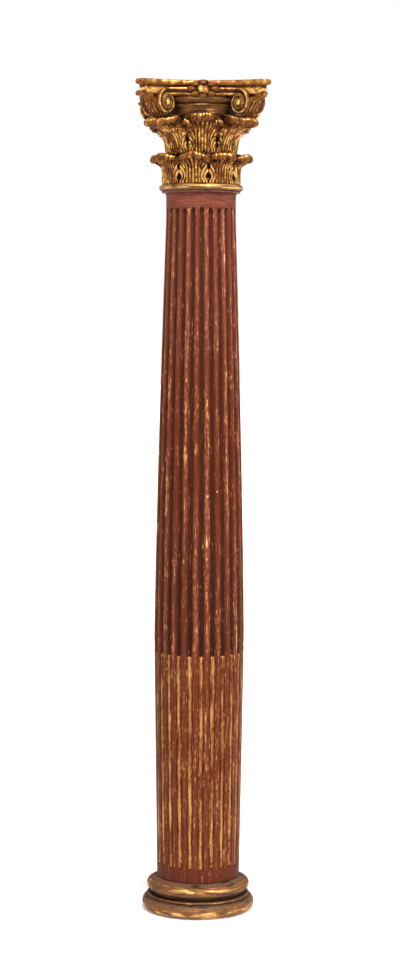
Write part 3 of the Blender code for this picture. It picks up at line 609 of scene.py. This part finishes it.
# %% [markdown]
# ## The neck ring
# A thin fillet and a half-round ring close the shaft under the capital. They were turned with the shaft and
# gilded, so this piece stands for the shaft's solid too.

# %% Neck ring
neck_path = np.vstack(
    [
        [(0.5, 1655.0), (82.0, 1655.0), (88.6, 1655.1), (89.6, 1656.4), (89.4, 1658.6), (87.2, 1659.4)],
        round_nose(95.9, 1666.3, 6.9, -88.0, 88.0, 20),
        [(86.0, 1673.4), (0.5, 1673.4)],
    ]
)
neck_crest = np.where(neck_path[:, 1] > 1663.0, 0.85, 0.35)
neck_hollow = np.where(neck_path[:, 1] > 1672.6, 0.5, 0.0)
neck = turned("neck_ring", neck_path, 256, neck_crest, neck_hollow, wobble=0.12, seed=31)
place(neck, "shaft", "gilded_wood", turned_gold)

# %% [markdown]
# ## The bell
# Under the leaves the capital is a plain bell with a bead and a rounded lip. Only its upper part shows,
# between the scrolls, where the gilding is dull. Beside the scrolls it is painted dark, as painted shade
# from the scrolls, and its top under the abacus carries a painted shadow line.

# %% Bell
CAPITAL_FOOT = 1673.8
bell_path = np.vstack(
    [
        [(0.5, 1674.0), (84.0, 1674.0), (80.0, 1690.0), (78.0, 1740.0), (79.0, 1790.0)],
        [(86.0, 1812.0), (90.8, 1826.0), (92.0, 1836.0), (92.6, 1844.6), (94.0, 1845.2)],
        round_nose(97.2, 1848.4, 3.2, -80.0, 80.0, 10),
        [(94.4, 1852.0), (95.2, 1853.0), (99.0, 1855.4), (101.6, 1859.0), (102.2, 1863.0)],
        [(101.0, 1866.6), (97.0, 1868.4), (0.5, 1868.6)],
    ]
)
bell_level = bell_path[:, 1]
bell_crest = 0.62 + 0.06 * hump(bell_level, 1849.0, 3.0) + 0.05 * hump(bell_level, 1861.0, 5.0)
# Darker in the groove under the bead. The top under the abacus is a painted shadow line.
bell_dirt_and_shade = 0.5 * hump(bell_level, 1853.0, 1.6) + 0.6 * (bell_level > 1868.0)
# Painted shade: the bell darkens beyond 29 degrees from the middle of each side, where the scrolls shade it.
bell_turn = np.linspace(0, FULL_TURN, 256, endpoint=False)[None, :]
off_axis = np.abs((bell_turn + FULL_TURN / 8) % (FULL_TURN / 4) - FULL_TURN / 8)
painted_shade_beside_scrolls = ease((np.degrees(off_axis) - 29.0) / 9.0)
bell_dirt_and_shade = np.clip(bell_dirt_and_shade[:, None] + 0.95 * painted_shade_beside_scrolls, 0, 1)
bell = turned("bell", bell_path, 256, bell_crest, bell_dirt_and_shade, wobble=0.25, seed=41)
place(bell, "capital", "gilded_wood", turned_gold)

# %% [markdown]
# ## Two rows of leaves
# Eight broad leaves stand in each row, and their tips curl outwards. On the real capital each leaf was cut
# from the block with gouges: ribs fan up from the foot, and drilled holes with arching ribs separate one
# leaf's lobes from the next. A height field does the same: distance from the drilled hole gives the arching
# ribs, distance from the midrib gives the straight ones, and the profile carries the whole leaf outwards.

# %% Ribs and drilled holes
LEAF_COLUMNS = 704
LEAF_ROWS = 120
LEAVES = 8
INNER_WALL = 58.0


def arch(across, level, hole):
    """How far a place is from the edge of a drilled hole, along the ribs that arch over it."""
    centre, half_width, half_height = hole
    over = np.where(level > centre, (level - centre) * 0.82 * half_width / half_height, 0.0)
    below = ease((centre - level) / (1.1 * half_height))
    return np.hypot(across, over) - half_width + 0.85 * half_width * below


def gouged(count):
    """Round ribs with sharp grooves between them, from -1 to 1. A whole count is the top of a rib."""
    return 2.0 * np.abs(np.cos(math.pi * count)) ** 0.65 - 1.0


print("a rib's top and groove", gouged(0.0), round(float(gouged(0.5)), 3))

# %% One row of leaves
def leaf_ring(name, turn, paths, widths, holes, seed, tongue_start):
    """One row of eight leaves round the bell, as a height field. Paths give the ground, a leaf on an axis and
    one at a corner, and widths are shares of a leaf's pitch. Holes are level, half width and half height of
    each drilled hole, how far its ribs spread and how far they stand out."""
    ground, axis, corner = (smooth_path(path, LEAF_ROWS) for path in paths)
    width = smooth_path([(value, 0) for value in widths], LEAF_ROWS)[:, 0]
    angle = np.linspace(0, FULL_TURN, LEAF_COLUMNS, endpoint=False)
    rise = np.linspace(0, 1, LEAF_ROWS)[:, None] * np.ones_like(angle)
    pitch = FULL_TURN / LEAVES
    leaf = np.round(angle / pitch).astype(int)
    # Side is -1 to 1 across a leaf, and out is 0 at its midrib and 1 where it meets the next.
    side = (angle - leaf * pitch) / (0.5 * pitch)
    at_corner = (leaf % 2 == 1)[None, :, None]
    crest = np.where(at_corner, corner[:, None, :], axis[:, None, :])
    out = np.abs(side) * np.ones_like(rise)
    waver = hand_noise(seed + 7, angle, 100.0 * rise, ((11, 61, 1.0), (19, 37, 0.8), (29, 23, 0.5)))
    out = np.abs(out + 0.010 * waver * np.clip(4.0 * out * (1.0 - out), 0, 1))
    # The tongue is the free upper part of a leaf, with fingers at its edges. No two are quite the same.
    tongue = ease((rise - tongue_start) / 0.12)
    draw = np.random.default_rng(seed)
    uneven = draw.uniform(-0.05, 0.05, LEAVES + 1)[leaf][None, :]
    fingers = 0.06 * np.cos(FULL_TURN * (rise - tongue_start) / 0.13) * tongue
    reach = width[:, None] + fingers + uneven * tongue
    fade = 0.10 + 0.05 * (1 - tongue)
    share = ease((reach + fade - out) / (2 * fade))
    lobes = 1.0 - 0.10 * tongue * (1.0 - np.cos(FULL_TURN * out / 0.27)) * ease((0.92 - rise) / 0.1)
    curl = crest - ground[:, None, :]
    curl = curl * np.stack([lobes, np.ones_like(lobes)], axis=-1)
    body = ground[:, None, :] + share[..., None] * curl
    step = np.gradient(body, axis=0)
    length = np.hypot(step[..., 0], step[..., 1]) + 1e-9
    normal_out, normal_up = step[..., 1] / length, -step[..., 0] / length
    level = crest[..., 1] * share + (1 - share) * ground[:, None, 1]
    level = np.maximum.accumulate(level, axis=0)
    across = (1 - out) * np.minimum(body[..., 0], 95) * pitch / 2
    # Straight ribs beside the midrib, then ribs that arch over the drilled holes between two leaves.
    uneven_cut = 1.0 + 0.35 * hand_noise(seed + 9, np.round(side / 0.21) * 3.7, 40.0 * rise, ((1, 30, 1.0),))
    relief = 1.6 * gouged(out / 0.21) * (out < 0.5) * uneven_cut + 0.2
    drilled = np.zeros_like(across)
    for centre, half_width, half_height, spread, lift in holes:
        past = arch(across, level, (centre, half_width, half_height))
        rib = lift + 1.7 * gouged(past / 6.4 - 0.475)
        inner = ease((spread - past) / 1.4)
        rib = rib * inner + (lift - 2.2) * (1 - inner)
        relief = np.where(past < spread, rib, relief)
        hole = ease(-past / 1.4) * (np.abs(level - centre) < half_height * 2.2)
        drilled = np.maximum(drilled, hole)
    stripes = 1.7 * gouged(out / 0.25 + 0.12 * side[None, :]) - 0.5 * (out > 0.5) - 0.4
    carving = relief * (1 - tongue) + tongue * stripes * share - 9.0 * drilled * (1 - tongue)
    foot = ease(rise / 0.03)
    marks = hand_noise(seed, angle, 10.0 * rise, ((9, 21, 1.0), (17, 13, 0.7), (31, 7, 0.5)))
    carving = carving * foot + 0.35 * marks * foot * ease((1 - rise) / 0.05)
    # Two plain rows behind close the ring towards the bell.
    flat = np.ones((1, LEAF_COLUMNS))
    radius = np.vstack([body[..., 0] + normal_out * carving, INNER_WALL * flat, INNER_WALL * flat])
    height = np.vstack([body[..., 1] + normal_up * carving, ground[-1, 1] * flat, ground[0, 1] * flat])
    points = round_axis(radius, angle + turn, height + CAPITAL_FOOT)
    spare = np.zeros((2, LEAF_COLUMNS))
    slow = hand_noise(seed + 13, angle, 70.0 * rise, ((5, 90, 1.0), (11, 41, 0.7)))
    rubbed = np.clip(0.34 + 0.20 * carving + 0.13 * slow, 0.0, 1.0)
    darkened = np.clip(drilled + 0.75 * ease((0.1 - carving) / 1.5), 0.0, 1.0)
    return round_grid(name, points, np.vstack([rubbed, spare]), np.vstack([darkened, spare]), loop_rows=True)

# %% The lower row
LOWER_TURN = -13.5
lower_ground = [(86.8, 0), (82, 6), (81, 25), (80.5, 38), (80.5, 46)]
lower_ground += [(79.5, 54), (78, 60), (78, 64), (78, 67), (78.5, 70)]
lower_leaf = [(86.8, 0), (87.6, 6), (87.4, 22), (89, 36), (95, 43)]
lower_leaf += [(104, 48), (109, 55.0), (103, 61.5), (94, 65.4), (80, 68.5)]
lower_paths = (lower_ground, lower_leaf, lower_leaf)
lower_width = [1.1, 1.1, 1.1, 1.0, 0.84, 0.68, 0.58, 0.62, 0.72, 1.0]
lower_holes = [(35.5, 4.8, 6.0, 13.5, 0.2), (12.5, 5.6, 8.0, 13.0, 1.0)]
lower_leaves = leaf_ring(
    "lower_leaves", math.radians(LOWER_TURN), lower_paths, lower_width, lower_holes, seed=3, tongue_start=0.40
)
place(lower_leaves, "capital", "gilded_wood", carved_gold)

# %% The upper row
upper_ground = [(78, 67), (78, 76), (79, 92), (82, 110), (86, 126)]
upper_ground += [(88, 136), (90, 144), (91, 150), (92, 156)]
axis_leaf = [(78, 67), (81, 78), (83, 94), (87.5, 110), (95, 124)]
axis_leaf += [(104, 132), (108, 140), (102, 147.5), (93, 153)]
corner_leaf = [(78, 67), (82, 78), (86, 92), (97, 107), (117, 120)]
corner_leaf += [(138, 127), (150, 136), (134, 145), (93, 153)]
upper_paths = (upper_ground, axis_leaf, corner_leaf)
upper_width = [1.1, 1.1, 1.1, 1.0, 0.80, 0.60, 0.48, 0.56, 1.0]
upper_holes = [(122.0, 5.6, 8.0, 12, 0.0), (97.0, 5.0, 7.0, 13, 0.5), (82.0, 4.0, 5.0, 12, 0.9)]
upper_leaves = leaf_ring(
    "upper_leaves", 0.0, upper_paths, upper_width, upper_holes, seed=5, tongue_start=0.44
)
place(upper_leaves, "capital", "gilded_wood", carved_gold)

# %% [markdown]
# ## Curled tips
# Each leaf ends in a tip that stands free of the block and rolls over, with a scalloped, ribbed edge. A tip
# is a sheet with a back: its rows follow a path out, up and over, and its columns run from edge to edge. One
# path shapes its middle and one its sides, and every tip differs a little, as a carver leaves them.

# %% One tip
TIP_ROWS = 26


def tip_path(start, reach, foot, top, drop):
    """Out from the leaf, up to the top, over, down by the drop and a little under, in millimetres."""
    out = reach - start
    knots = [
        (start, foot),
        (start + 0.45 * out, foot + 0.80 * (top - foot)),
        (start + 0.82 * out, top),
        (reach, top - 0.42 * drop),
        (reach - 0.05 * out, top - 0.84 * drop),
        (reach - 0.24 * out, top - drop),
    ]
    return smooth_path(knots, TIP_ROWS)


def tip(azimuth, middle, edge, half_width, lean, ribs, scallops, draw):
    """A curled tip at an azimuth in degrees, between the paths of its middle and of its edges. Half width
    and lean, its shift to one side, are in millimetres. It returns points, crest and hollow numbers."""
    columns = 6 * ribs + 1
    side = np.linspace(-1, 1, columns)[None, :]
    uneven = side + 0.10 * np.sin(3.5 * side + draw.uniform(0, 6)) * (1.0 - side**2)
    along = np.linspace(0, 1, TIP_ROWS)[:, None]
    first, last = tip_path(*middle), tip_path(*edge)
    outer = np.abs(side)[..., None] ** 1.7
    path = first[:, None, :] * (1.0 - outer) + last[:, None, :] * outer
    bays = np.abs(np.sin(0.5 * math.pi * scallops * (uneven + 1.0) + draw.uniform(-0.15, 0.15))) ** 0.6
    back_off = (1.0 - bays) * ease((along - 0.35) / 0.5)
    root = path[:1]
    path = path + 0.21 * back_off[..., None] * (root - path) * np.array([1.0, 0.35])
    step = np.gradient(first, axis=0)
    step = step / np.hypot(step[:, 0], step[:, 1])[:, None]
    normal = np.stack([-step[:, 1], step[:, 0]], axis=-1)
    rib = gouged(0.5 * ribs * uneven) * np.sin(math.pi * (0.15 + 0.75 * along)) ** 0.5
    relief = 1.15 * rib - 1.4 * back_off + 1.0 * draw.uniform(-1, 1) * np.sin(3.0 * side + draw.uniform(0, 6))
    narrow = 1.0 - 0.22 * np.clip((along - 0.7) / 0.3, 0, 1) ** 2
    across = side * half_width * narrow + lean * along
    radius = path[..., 0] + normal[:, 0][:, None] * relief
    level = path[..., 1] + normal[:, 1][:, None] * relief
    level = level + 1.3 * ease(along / 0.4) * np.sin(4.5 * side + draw.uniform(0, 6))
    under = 4.2 - 2.2 * side**4
    radius = np.hstack([radius, (radius - normal[:, 0][:, None] * under)[:, ::-1]])
    level = np.hstack([level, (level - normal[:, 1][:, None] * under)[:, ::-1]])
    across = np.hstack([across, 0.97 * across[:, ::-1]])
    turn = math.radians(azimuth) + across / (0.5 * (middle[0] + middle[1]))
    points = round_axis(radius, turn, level + CAPITAL_FOOT)
    front = np.clip(0.33 + 0.15 * rib + 0.50 * hump(along, 0.46, 0.11) - 0.3 * back_off, 0, 1)
    # Darker in the grooves and the bays. The hanging end of the roll, past 0.62 of its path, is painted
    # shade.
    darkened = np.clip(-0.45 * rib + 0.5 * back_off + 0.45 * ease((along - 0.62) / 0.2), 0, 1)
    crest = np.hstack([front, np.full_like(front, 0.25)])
    hollow = np.hstack([darkened, np.full_like(front, 0.25)])
    return points[:, ::-1], crest[:, ::-1], hollow[:, ::-1]

# %% Rows of tips
# A tip: offset from its leaf in degrees, the paths of its middle and of its edges, half width, lean, ribs and
# scallops. A path is where it starts, its reach, the levels of foot and top, and its drop.
LOWER_TIPS = ((0.0, (84, 119.5, 49, 67.0, 17), (80, 99, 43, 60, 10), 34.0, 0.0, 8, 5),)
AXIS_TIPS = (
    (0.0, (88, 121.0, 125, 154.0, 19), (88, 108, 120, 148, 15), 27.0, 0.0, 7, 3),
    (19.5, (84, 107.0, 106, 140.0, 13), (82, 98, 100, 131, 8), 13.0, 7.0, 4, 3),
)
CORNER_TIPS = ((0.0, (108, 167.0, 124, 142.0, 22), (90, 121, 132, 150, 15), 42.0, 0.0, 9, 5),)
LEFT_CORNER_TIPS = ((0.0, (108, 177.0, 121, 139.0, 20), (90, 128, 129, 148, 14), 44.0, 0.0, 9, 5),)
BACK_CORNER_TIPS = ((0.0, (108, 153.0, 130, 149.0, 16), (90, 119, 134, 150, 12), 38.0, 0.0, 7, 3),)


def tip_row(name, leaves, seed):
    """All tips of a row. A tip with an offset is made once to each side of its leaf."""
    draw = np.random.default_rng(seed)
    grids = []
    for azimuth, tips in leaves:
        for offset, middle, edge, half_width, lean, ribs, scallops in tips:
            for hand in (-1, 1) if offset else (1,):
                shift = draw.uniform(-1.2, 0.6)
                one = np.add(middle, (0, shift, 0, draw.uniform(-1, 1), 0))
                two = np.add(edge, (0, shift, 0, draw.uniform(-1.5, 1.5), 0))
                place_at = azimuth + hand * offset + draw.uniform(-0.7, 0.7)
                grids.append(tip(place_at, one, two, half_width, hand * lean, ribs, scallops, draw))
    return join_grids(name, grids)


lower = [(LOWER_TURN + 45.0 * count, LOWER_TIPS) for count in range(LEAVES)]
lower_tips = tip_row("lower_leaf_tips", lower, 61)
place(lower_tips, "capital", "gilded_wood", carved_gold)
upper = [(90.0 * count, AXIS_TIPS) for count in range(4)]
upper += [(-45.0, LEFT_CORNER_TIPS), (45.0, CORNER_TIPS)]
upper += [(azimuth, BACK_CORNER_TIPS) for azimuth in (135.0, 225.0)]
upper_tips = tip_row("upper_leaf_tips", upper, 62)
place(upper_tips, "capital", "gilded_wood", carved_gold)

# %% [markdown]
# ## The abacus
# The top plate has four hollow sides that meet in cut-off corners. Its edge is a rounded moulding over a sunk
# band and a hollow fascia. Each side is an arc, and the profile is drawn in towards the axis.

# %% Plan of the abacus
SIDE_REACH = 113.8
CORNER_X, CORNER_Y = 136.5, 150.6


def abacus_rim(per_side, per_corner):
    """The plan of the abacus as points, clockwise seen from above, starting at the front's left end."""
    centre = (CORNER_X**2 + CORNER_Y**2 - SIDE_REACH**2) / (2.0 * (CORNER_Y - SIDE_REACH))
    radius = centre - SIDE_REACH
    swing = math.asin(CORNER_X / radius)
    rim = []
    for side in range(4):
        turn = side * FULL_TURN / 4
        side_angles = np.linspace(-swing, swing, per_side)
        x = radius * np.sin(side_angles)
        y = radius * np.cos(side_angles) - centre
        cut = np.linspace(0, 1, per_corner + 2)[1:-1]
        corner_x = CORNER_X + cut * (CORNER_Y - CORNER_X)
        corner_y = -CORNER_Y + cut * (CORNER_Y - CORNER_X)
        x = np.concatenate([x, corner_x])
        y = np.concatenate([y, corner_y])
        across = x * math.cos(turn) - y * math.sin(turn)
        out = x * math.sin(turn) + y * math.cos(turn)
        rim.append(np.stack([across, out], axis=-1))
    return np.vstack(rim)


print("points round the rim", len(abacus_rim(64, 6)))

# %% Abacus
def build_abacus():
    """The abacus as rings of the rim, each drawn in by the profile's inset at its level."""
    nose = np.radians(np.linspace(-75, 90, 14))
    profile = [(19.0, 1868.0), (15.5, 1868.6), (14.6, 1871.5), (13.8, 1875.0), (12.8, 1879.0)]
    profile += [(12.0, 1882.0), (12.8, 1882.6), (13.2, 1884.6), (11.6, 1887.0), (8.0, 1888.2)]
    profile += [(6.0 - 6.0 * math.cos(turn), 1894.0 + 6.0 * math.sin(turn)) for turn in nose]
    profile += [(9.0, 1899.7), (40.0, 1899.6)]
    profile = np.array(profile)
    rim = abacus_rim(64, 6)
    reach = np.hypot(rim[:, 0], rim[:, 1])[None, :]
    angle = np.arctan2(rim[:, 1], rim[:, 0])[None, :]
    level = profile[:, 1][:, None] * np.ones_like(reach)
    wobble = 0.35 * hand_noise(51, angle, level, ((9, 40, 1.0), (21, 17, 0.6), (37, 11, 0.4)))
    inset = profile[:, 0][:, None] + np.where(profile[:, 0][:, None] < 30, wobble, 0.0)
    keep = 1.0 - inset / reach
    points = np.stack([rim[None, :, 0] * keep, rim[None, :, 1] * keep, level], axis=-1) * MM
    crest = 0.42 + 0.27 * hump(level, 1896.0, 4.0) + 0.50 * (level < 1882.5)
    hollow = 0.55 * hump(level, 1885.0, 2.2) + 0.5 * (level < 1869.0)
    # The top can't be seen or rubbed: it is plain, dull and a little dirty.
    on_top = ease((profile[:, 0] - 6.0) / 20.0)[:, None] * (level > 1899.0)
    crest = crest * (1.0 - on_top)
    hollow = np.where(level > 1899.0, 0.35 * on_top, hollow)
    return round_grid("abacus", points, crest, np.clip(hollow, 0, 1))


abacus = build_abacus()
place(abacus, "capital", "gilded_wood", carved_gold)

# %% [markdown]
# ## The corner scrolls
# A band with two raised edges leaves the flower at the middle of each side, runs under the abacus and curls
# into a scroll below the corner. It is one band swept along a spiral, whose width shrinks with the spiral so
# that each turn fits inside the last. A drum fills the space between the two scrolls of a corner.

# %% Path of a scroll
SCROLL_OUT, SCROLL_ACROSS, SCROLL_LEVEL = 140.0, 28.5, 1850.5
SCROLL_START, SCROLL_SHRINK, SCROLL_TURNS = 33.0, 0.105, 2.1
SWING_STEPS = 150
LEAD_LENGTH, LEAD_BEND, LEAD_STEPS = 60.0, 7.0, 43
EYE_COLUMNS = 24
DRUM_ROWS, DRUM_COLUMNS = 17, 72


def scroll_rho(swing):
    """The spiral's outer radius after a swing, in radians, from the top of the scroll."""
    return SCROLL_START * np.exp(-SCROLL_SHRINK * swing)


def band_path():
    """Outer edge, inward direction, face direction and width along one band, in the corner's own axes:
    out along the diagonal, across towards the viewer's side, and up."""
    swing = np.linspace(0, SCROLL_TURNS * FULL_TURN, SWING_STEPS)
    rho = scroll_rho(swing)
    width = rho * (1.0 - math.exp(-SCROLL_SHRINK * FULL_TURN)) * 1.04
    radial = np.stack([np.sin(swing), np.zeros_like(swing), np.cos(swing)], axis=-1)
    centre = np.array([SCROLL_OUT, SCROLL_ACROSS, SCROLL_LEVEL])
    edge = centre + rho[:, None] * radial
    edge[:, 1] += 2.5 * ease(swing / (SCROLL_TURNS * FULL_TURN))
    face = np.tile([0.0, 1.0, 0.0], (len(swing), 1))
    # The lead runs from the top of the scroll to the flower, and bends by 45 degrees at its start.
    run = np.linspace(0, LEAD_LENGTH, LEAD_STEPS + 1)
    lean = 0.25 * math.pi * ease(run / LEAD_BEND)
    middle = (lean[1:] + lean[:-1]) / 2
    along_out = edge[0, 0] - np.cumsum(np.cos(middle)) * run[1]
    along_across = edge[0, 1] + np.cumsum(np.sin(middle)) * run[1]
    lead = np.stack([along_out, along_across, np.full(LEAD_STEPS, edge[0, 2])], axis=-1)[::-1]
    turned_face = np.stack([np.sin(lean[1:]), np.cos(lean[1:]), np.zeros(LEAD_STEPS)], axis=-1)[::-1]
    edge = np.vstack([lead, edge])
    face = np.vstack([turned_face, face])
    inward = np.vstack([np.tile([0.0, 0.0, -1.0], (LEAD_STEPS, 1)), -radial])
    width = np.concatenate([np.full(LEAD_STEPS, width[0]), width])
    return edge, inward, face, width


def to_frame(points, corner, mirror):
    """Carries points from a corner's own axes into the frame. Mirror gives the corner's other face."""
    out, across, up = np.moveaxis(points, -1, 0)
    across = across * (-1.0 if mirror else 1.0)
    turn = math.radians(45.0 + 90.0 * corner)
    x = out * math.sin(turn) - across * math.cos(turn)
    y = -out * math.cos(turn) - across * math.sin(turn)
    return np.stack([x, y, up], axis=-1)


print("band width at the flower and at the eye", band_path()[3][[0, -1]].round(1))

# %% Bands, bosses and drums
def sweep(name, path, corner, mirror):
    """A band with two raised edges and a hollow between them, swept along its outer edge."""
    edge, inward, face, width = path
    share = np.linspace(0, 1, 17)
    belly = 4.4 * hump(share, 0.17, 0.15) + 3.2 * hump(share, 0.86, 0.12) - 1.2 * np.sin(math.pi * share)
    shrink = np.clip(width / width.max(), 0.35, 1.0)
    # Seventeen places across the front, then two behind. Relief is measured along the face.
    place_across = np.append(share, (0.96, 0.04))[None, :, None]
    relief = np.hstack([shrink[:, None] * belly, np.full((len(width), 2), -7.0)])[..., None]
    points = edge[:, None] + place_across * (inward * width[:, None])[:, None] + relief * face[:, None]
    crest = np.append(np.clip(0.42 + 0.11 * belly, 0, 1), (0.3, 0.3)) * np.ones((len(width), 1))
    hollow = np.append(np.clip(0.1 - 0.45 * belly, 0, 1), (0.4, 0.4)) * np.ones((len(width), 1))
    # A mirrored band is turned inside out, so its columns go the other way.
    order = slice(None, None, -1 if mirror else 1)
    points = to_frame(points, corner, mirror)[:, order]
    return round_grid(name, points * MM, crest[:, order], hollow[:, order])


def scroll_round(across, size, turns):
    """Rings about the axis of a scroll, in the corner's own axes: one for each place across."""
    out, up = SCROLL_OUT + size * np.sin(turns), SCROLL_LEVEL + size * np.cos(turns)
    return np.stack(np.broadcast_arrays(out, across, up), axis=-1)


def eye(name, corner, mirror):
    """The round boss at the middle of a scroll."""
    rise = np.radians(np.linspace(-20, 88, 9))[:, None]
    turns = np.linspace(0, FULL_TURN, EYE_COLUMNS, endpoint=False)[None, :]
    points = scroll_round(SCROLL_ACROSS + 1.5 + 5.2 * np.sin(rise), 6.6 * np.cos(rise), turns)
    points = to_frame(points, corner, mirror)[:, :: 1 if mirror else -1] * MM
    return round_grid(name, points, np.full(points.shape[:2], 0.80), np.zeros(points.shape[:2]))


def drum(name, corner):
    """The solid between a corner's two scrolls, waisted in the middle."""
    turns = np.linspace(0, FULL_TURN, DRUM_COLUMNS, endpoint=False)[None, :]
    across = np.linspace(-SCROLL_ACROSS + 1.0, SCROLL_ACROSS - 1.0, DRUM_ROWS)[:, None]
    waist = 1.0 - 0.22 * np.cos(0.5 * math.pi * across / SCROLL_ACROSS) ** 2
    points = scroll_round(across, (scroll_rho(turns) - 1.2) * waist, turns)
    points = to_frame(points, corner, False)[:, ::-1] * MM
    return round_grid(name, points, np.full(points.shape[:2], 0.22), np.full(points.shape[:2], 0.3))


scroll_path = band_path()
for corner in range(4):
    for mirror in (False, True):
        label = f"{corner}_{'b' if mirror else 'a'}"
        band = sweep(f"scroll_{label}", scroll_path, corner, mirror)
        place(band, "capital", "gilded_wood", carved_gold)
        place(eye(f"eye_{label}", corner, mirror), "capital", "gilded_wood", carved_gold)
    place(drum(f"drum_{corner}", corner), "capital", "gilded_wood", carved_gold)

# %% [markdown]
# ## The corner leaves
# On the outer side of each drum a narrow leaf climbs and curls out under the abacus corner. It is a strip:
# its rows follow the curl, and its columns go from edge to edge over ribs, with a notched edge.

# %% Corner leaves
LEAF_STEPS = 56
SPINE = [(146, 1820), (155, 1830), (161, 1840), (168, 1850)]
SPINE += [(178, 1858), (189, 1863), (196, 1869), (190, 1873)]
SPINE_HALF = [20, 24, 25, 23, 20, 15, 10, 7]


def corner_leaf_piece(name, corner):
    """A ribbed strip with a back, in the corner's own axes. The spine is how far out and its level."""
    spine = smooth_path(SPINE, LEAF_STEPS)
    half = smooth_path([(value, 0) for value in SPINE_HALF], LEAF_STEPS)[:, :1]
    step = np.gradient(spine, axis=0)
    step = step / np.hypot(step[:, 0], step[:, 1])[:, None]
    row = np.arange(LEAF_STEPS)[:, None]
    side = np.linspace(-1, 1, 41)[None, :]
    notch = 1.0 - 0.30 * np.abs(np.sin(row * 0.26 + 0.3 * corner)) ** 1.5
    rib = 2.4 * gouged(side * 2.2 + 0.20 * np.sin(0.09 * row + corner)) * (1.0 - side**4)
    bow = rib - 5.0 * side**2 * (half / 26.0)
    across = side * half * notch
    crest = np.clip(0.24 + 0.12 * rib, 0, 1)
    # The back lies 5 mm behind the front and is a little narrower. Its columns run the other way.
    back = (slice(None), slice(None, None, -1))
    bow = np.hstack([bow, (bow - 5.0)[back]])
    across = np.hstack([across, 0.97 * across[back]])
    crest = np.hstack([crest, np.full_like(crest, 0.3)])
    out = spine[:, :1] + step[:, 1:] * bow
    up = spine[:, 1:] - step[:, :1] * bow
    points = to_frame(np.stack([out, across, up], axis=-1), corner, False)[back] * MM
    return round_grid(name, points, crest[back], np.clip(0.9 - 3.0 * crest[back], 0, 0.8))


for corner in range(4):
    place(corner_leaf_piece(f"corner_leaf_{corner}", corner), "capital", "gilded_wood", carved_gold)

# %% [markdown]
# ## The flowers
# An open flower covers the middle of each side of the abacus: a ring of eight rounded petals round a split
# boss. A disc of rings and spokes is enough, with the petals in its outline and its relief.

# %% Flowers
FLOWER_LEVEL = 1879.8
BOSS_SHARE = 0.375


def flower(name, side):
    """A petalled disc in front of the abacus, 72 mm wide and 40 mm tall."""
    turns = np.linspace(0, FULL_TURN, 192, endpoint=False)[None, :]
    share = np.linspace(1.0, 0.03, 34)[:, None]
    petal = np.abs(np.cos(4.0 * turns))
    outline = 0.80 + 0.20 * petal**0.5
    x = 36.0 * share * outline * np.cos(turns)
    z = 20.0 * share * outline * np.sin(turns)
    swell = np.sin(math.pi * np.minimum(1.0, (1.0 - share) * 1.6)) * (share > BOSS_SHARE)
    bulge = 7.0 * petal**0.7 * swell
    lump = np.hypot((np.abs(x) - 4.4) / 9.4, (z + 1.5 + 0.15 * x) / 9.6)
    boss = (12.0 + 1.2 * np.sin(0.7 * z + 0.4 * x)) * np.sqrt(np.clip(1.0 - lump**2, 0.0, 1.0))
    raised = np.maximum(bulge, boss)
    depth = 123.0 + raised + 2.0 * (1.0 - share)
    # The first row is the plain back, 27 mm behind the front.
    x = np.vstack([30.0 * outline * np.cos(turns), x])
    z = np.vstack([17.0 * outline * np.sin(turns), z]) + FLOWER_LEVEL
    depth = np.vstack([np.full_like(turns, 96.0), depth])
    crest = np.vstack([np.full_like(turns, 0.2), np.clip(0.16 + 0.060 * raised, 0, 1)])
    hollow = np.vstack([np.full_like(turns, 0.4), np.clip(0.6 - 0.20 * raised, 0, 0.6)])
    turn = side * FULL_TURN / 4
    right = x * math.cos(turn) + depth * math.sin(turn)
    back = x * math.sin(turn) - depth * math.cos(turn)
    return round_grid(name, np.stack([right, back, z], axis=-1) * MM, crest, hollow)


for side in range(4):
    place(flower(f"flower_{side}", side), "capital", "gilded_wood", carved_gold)
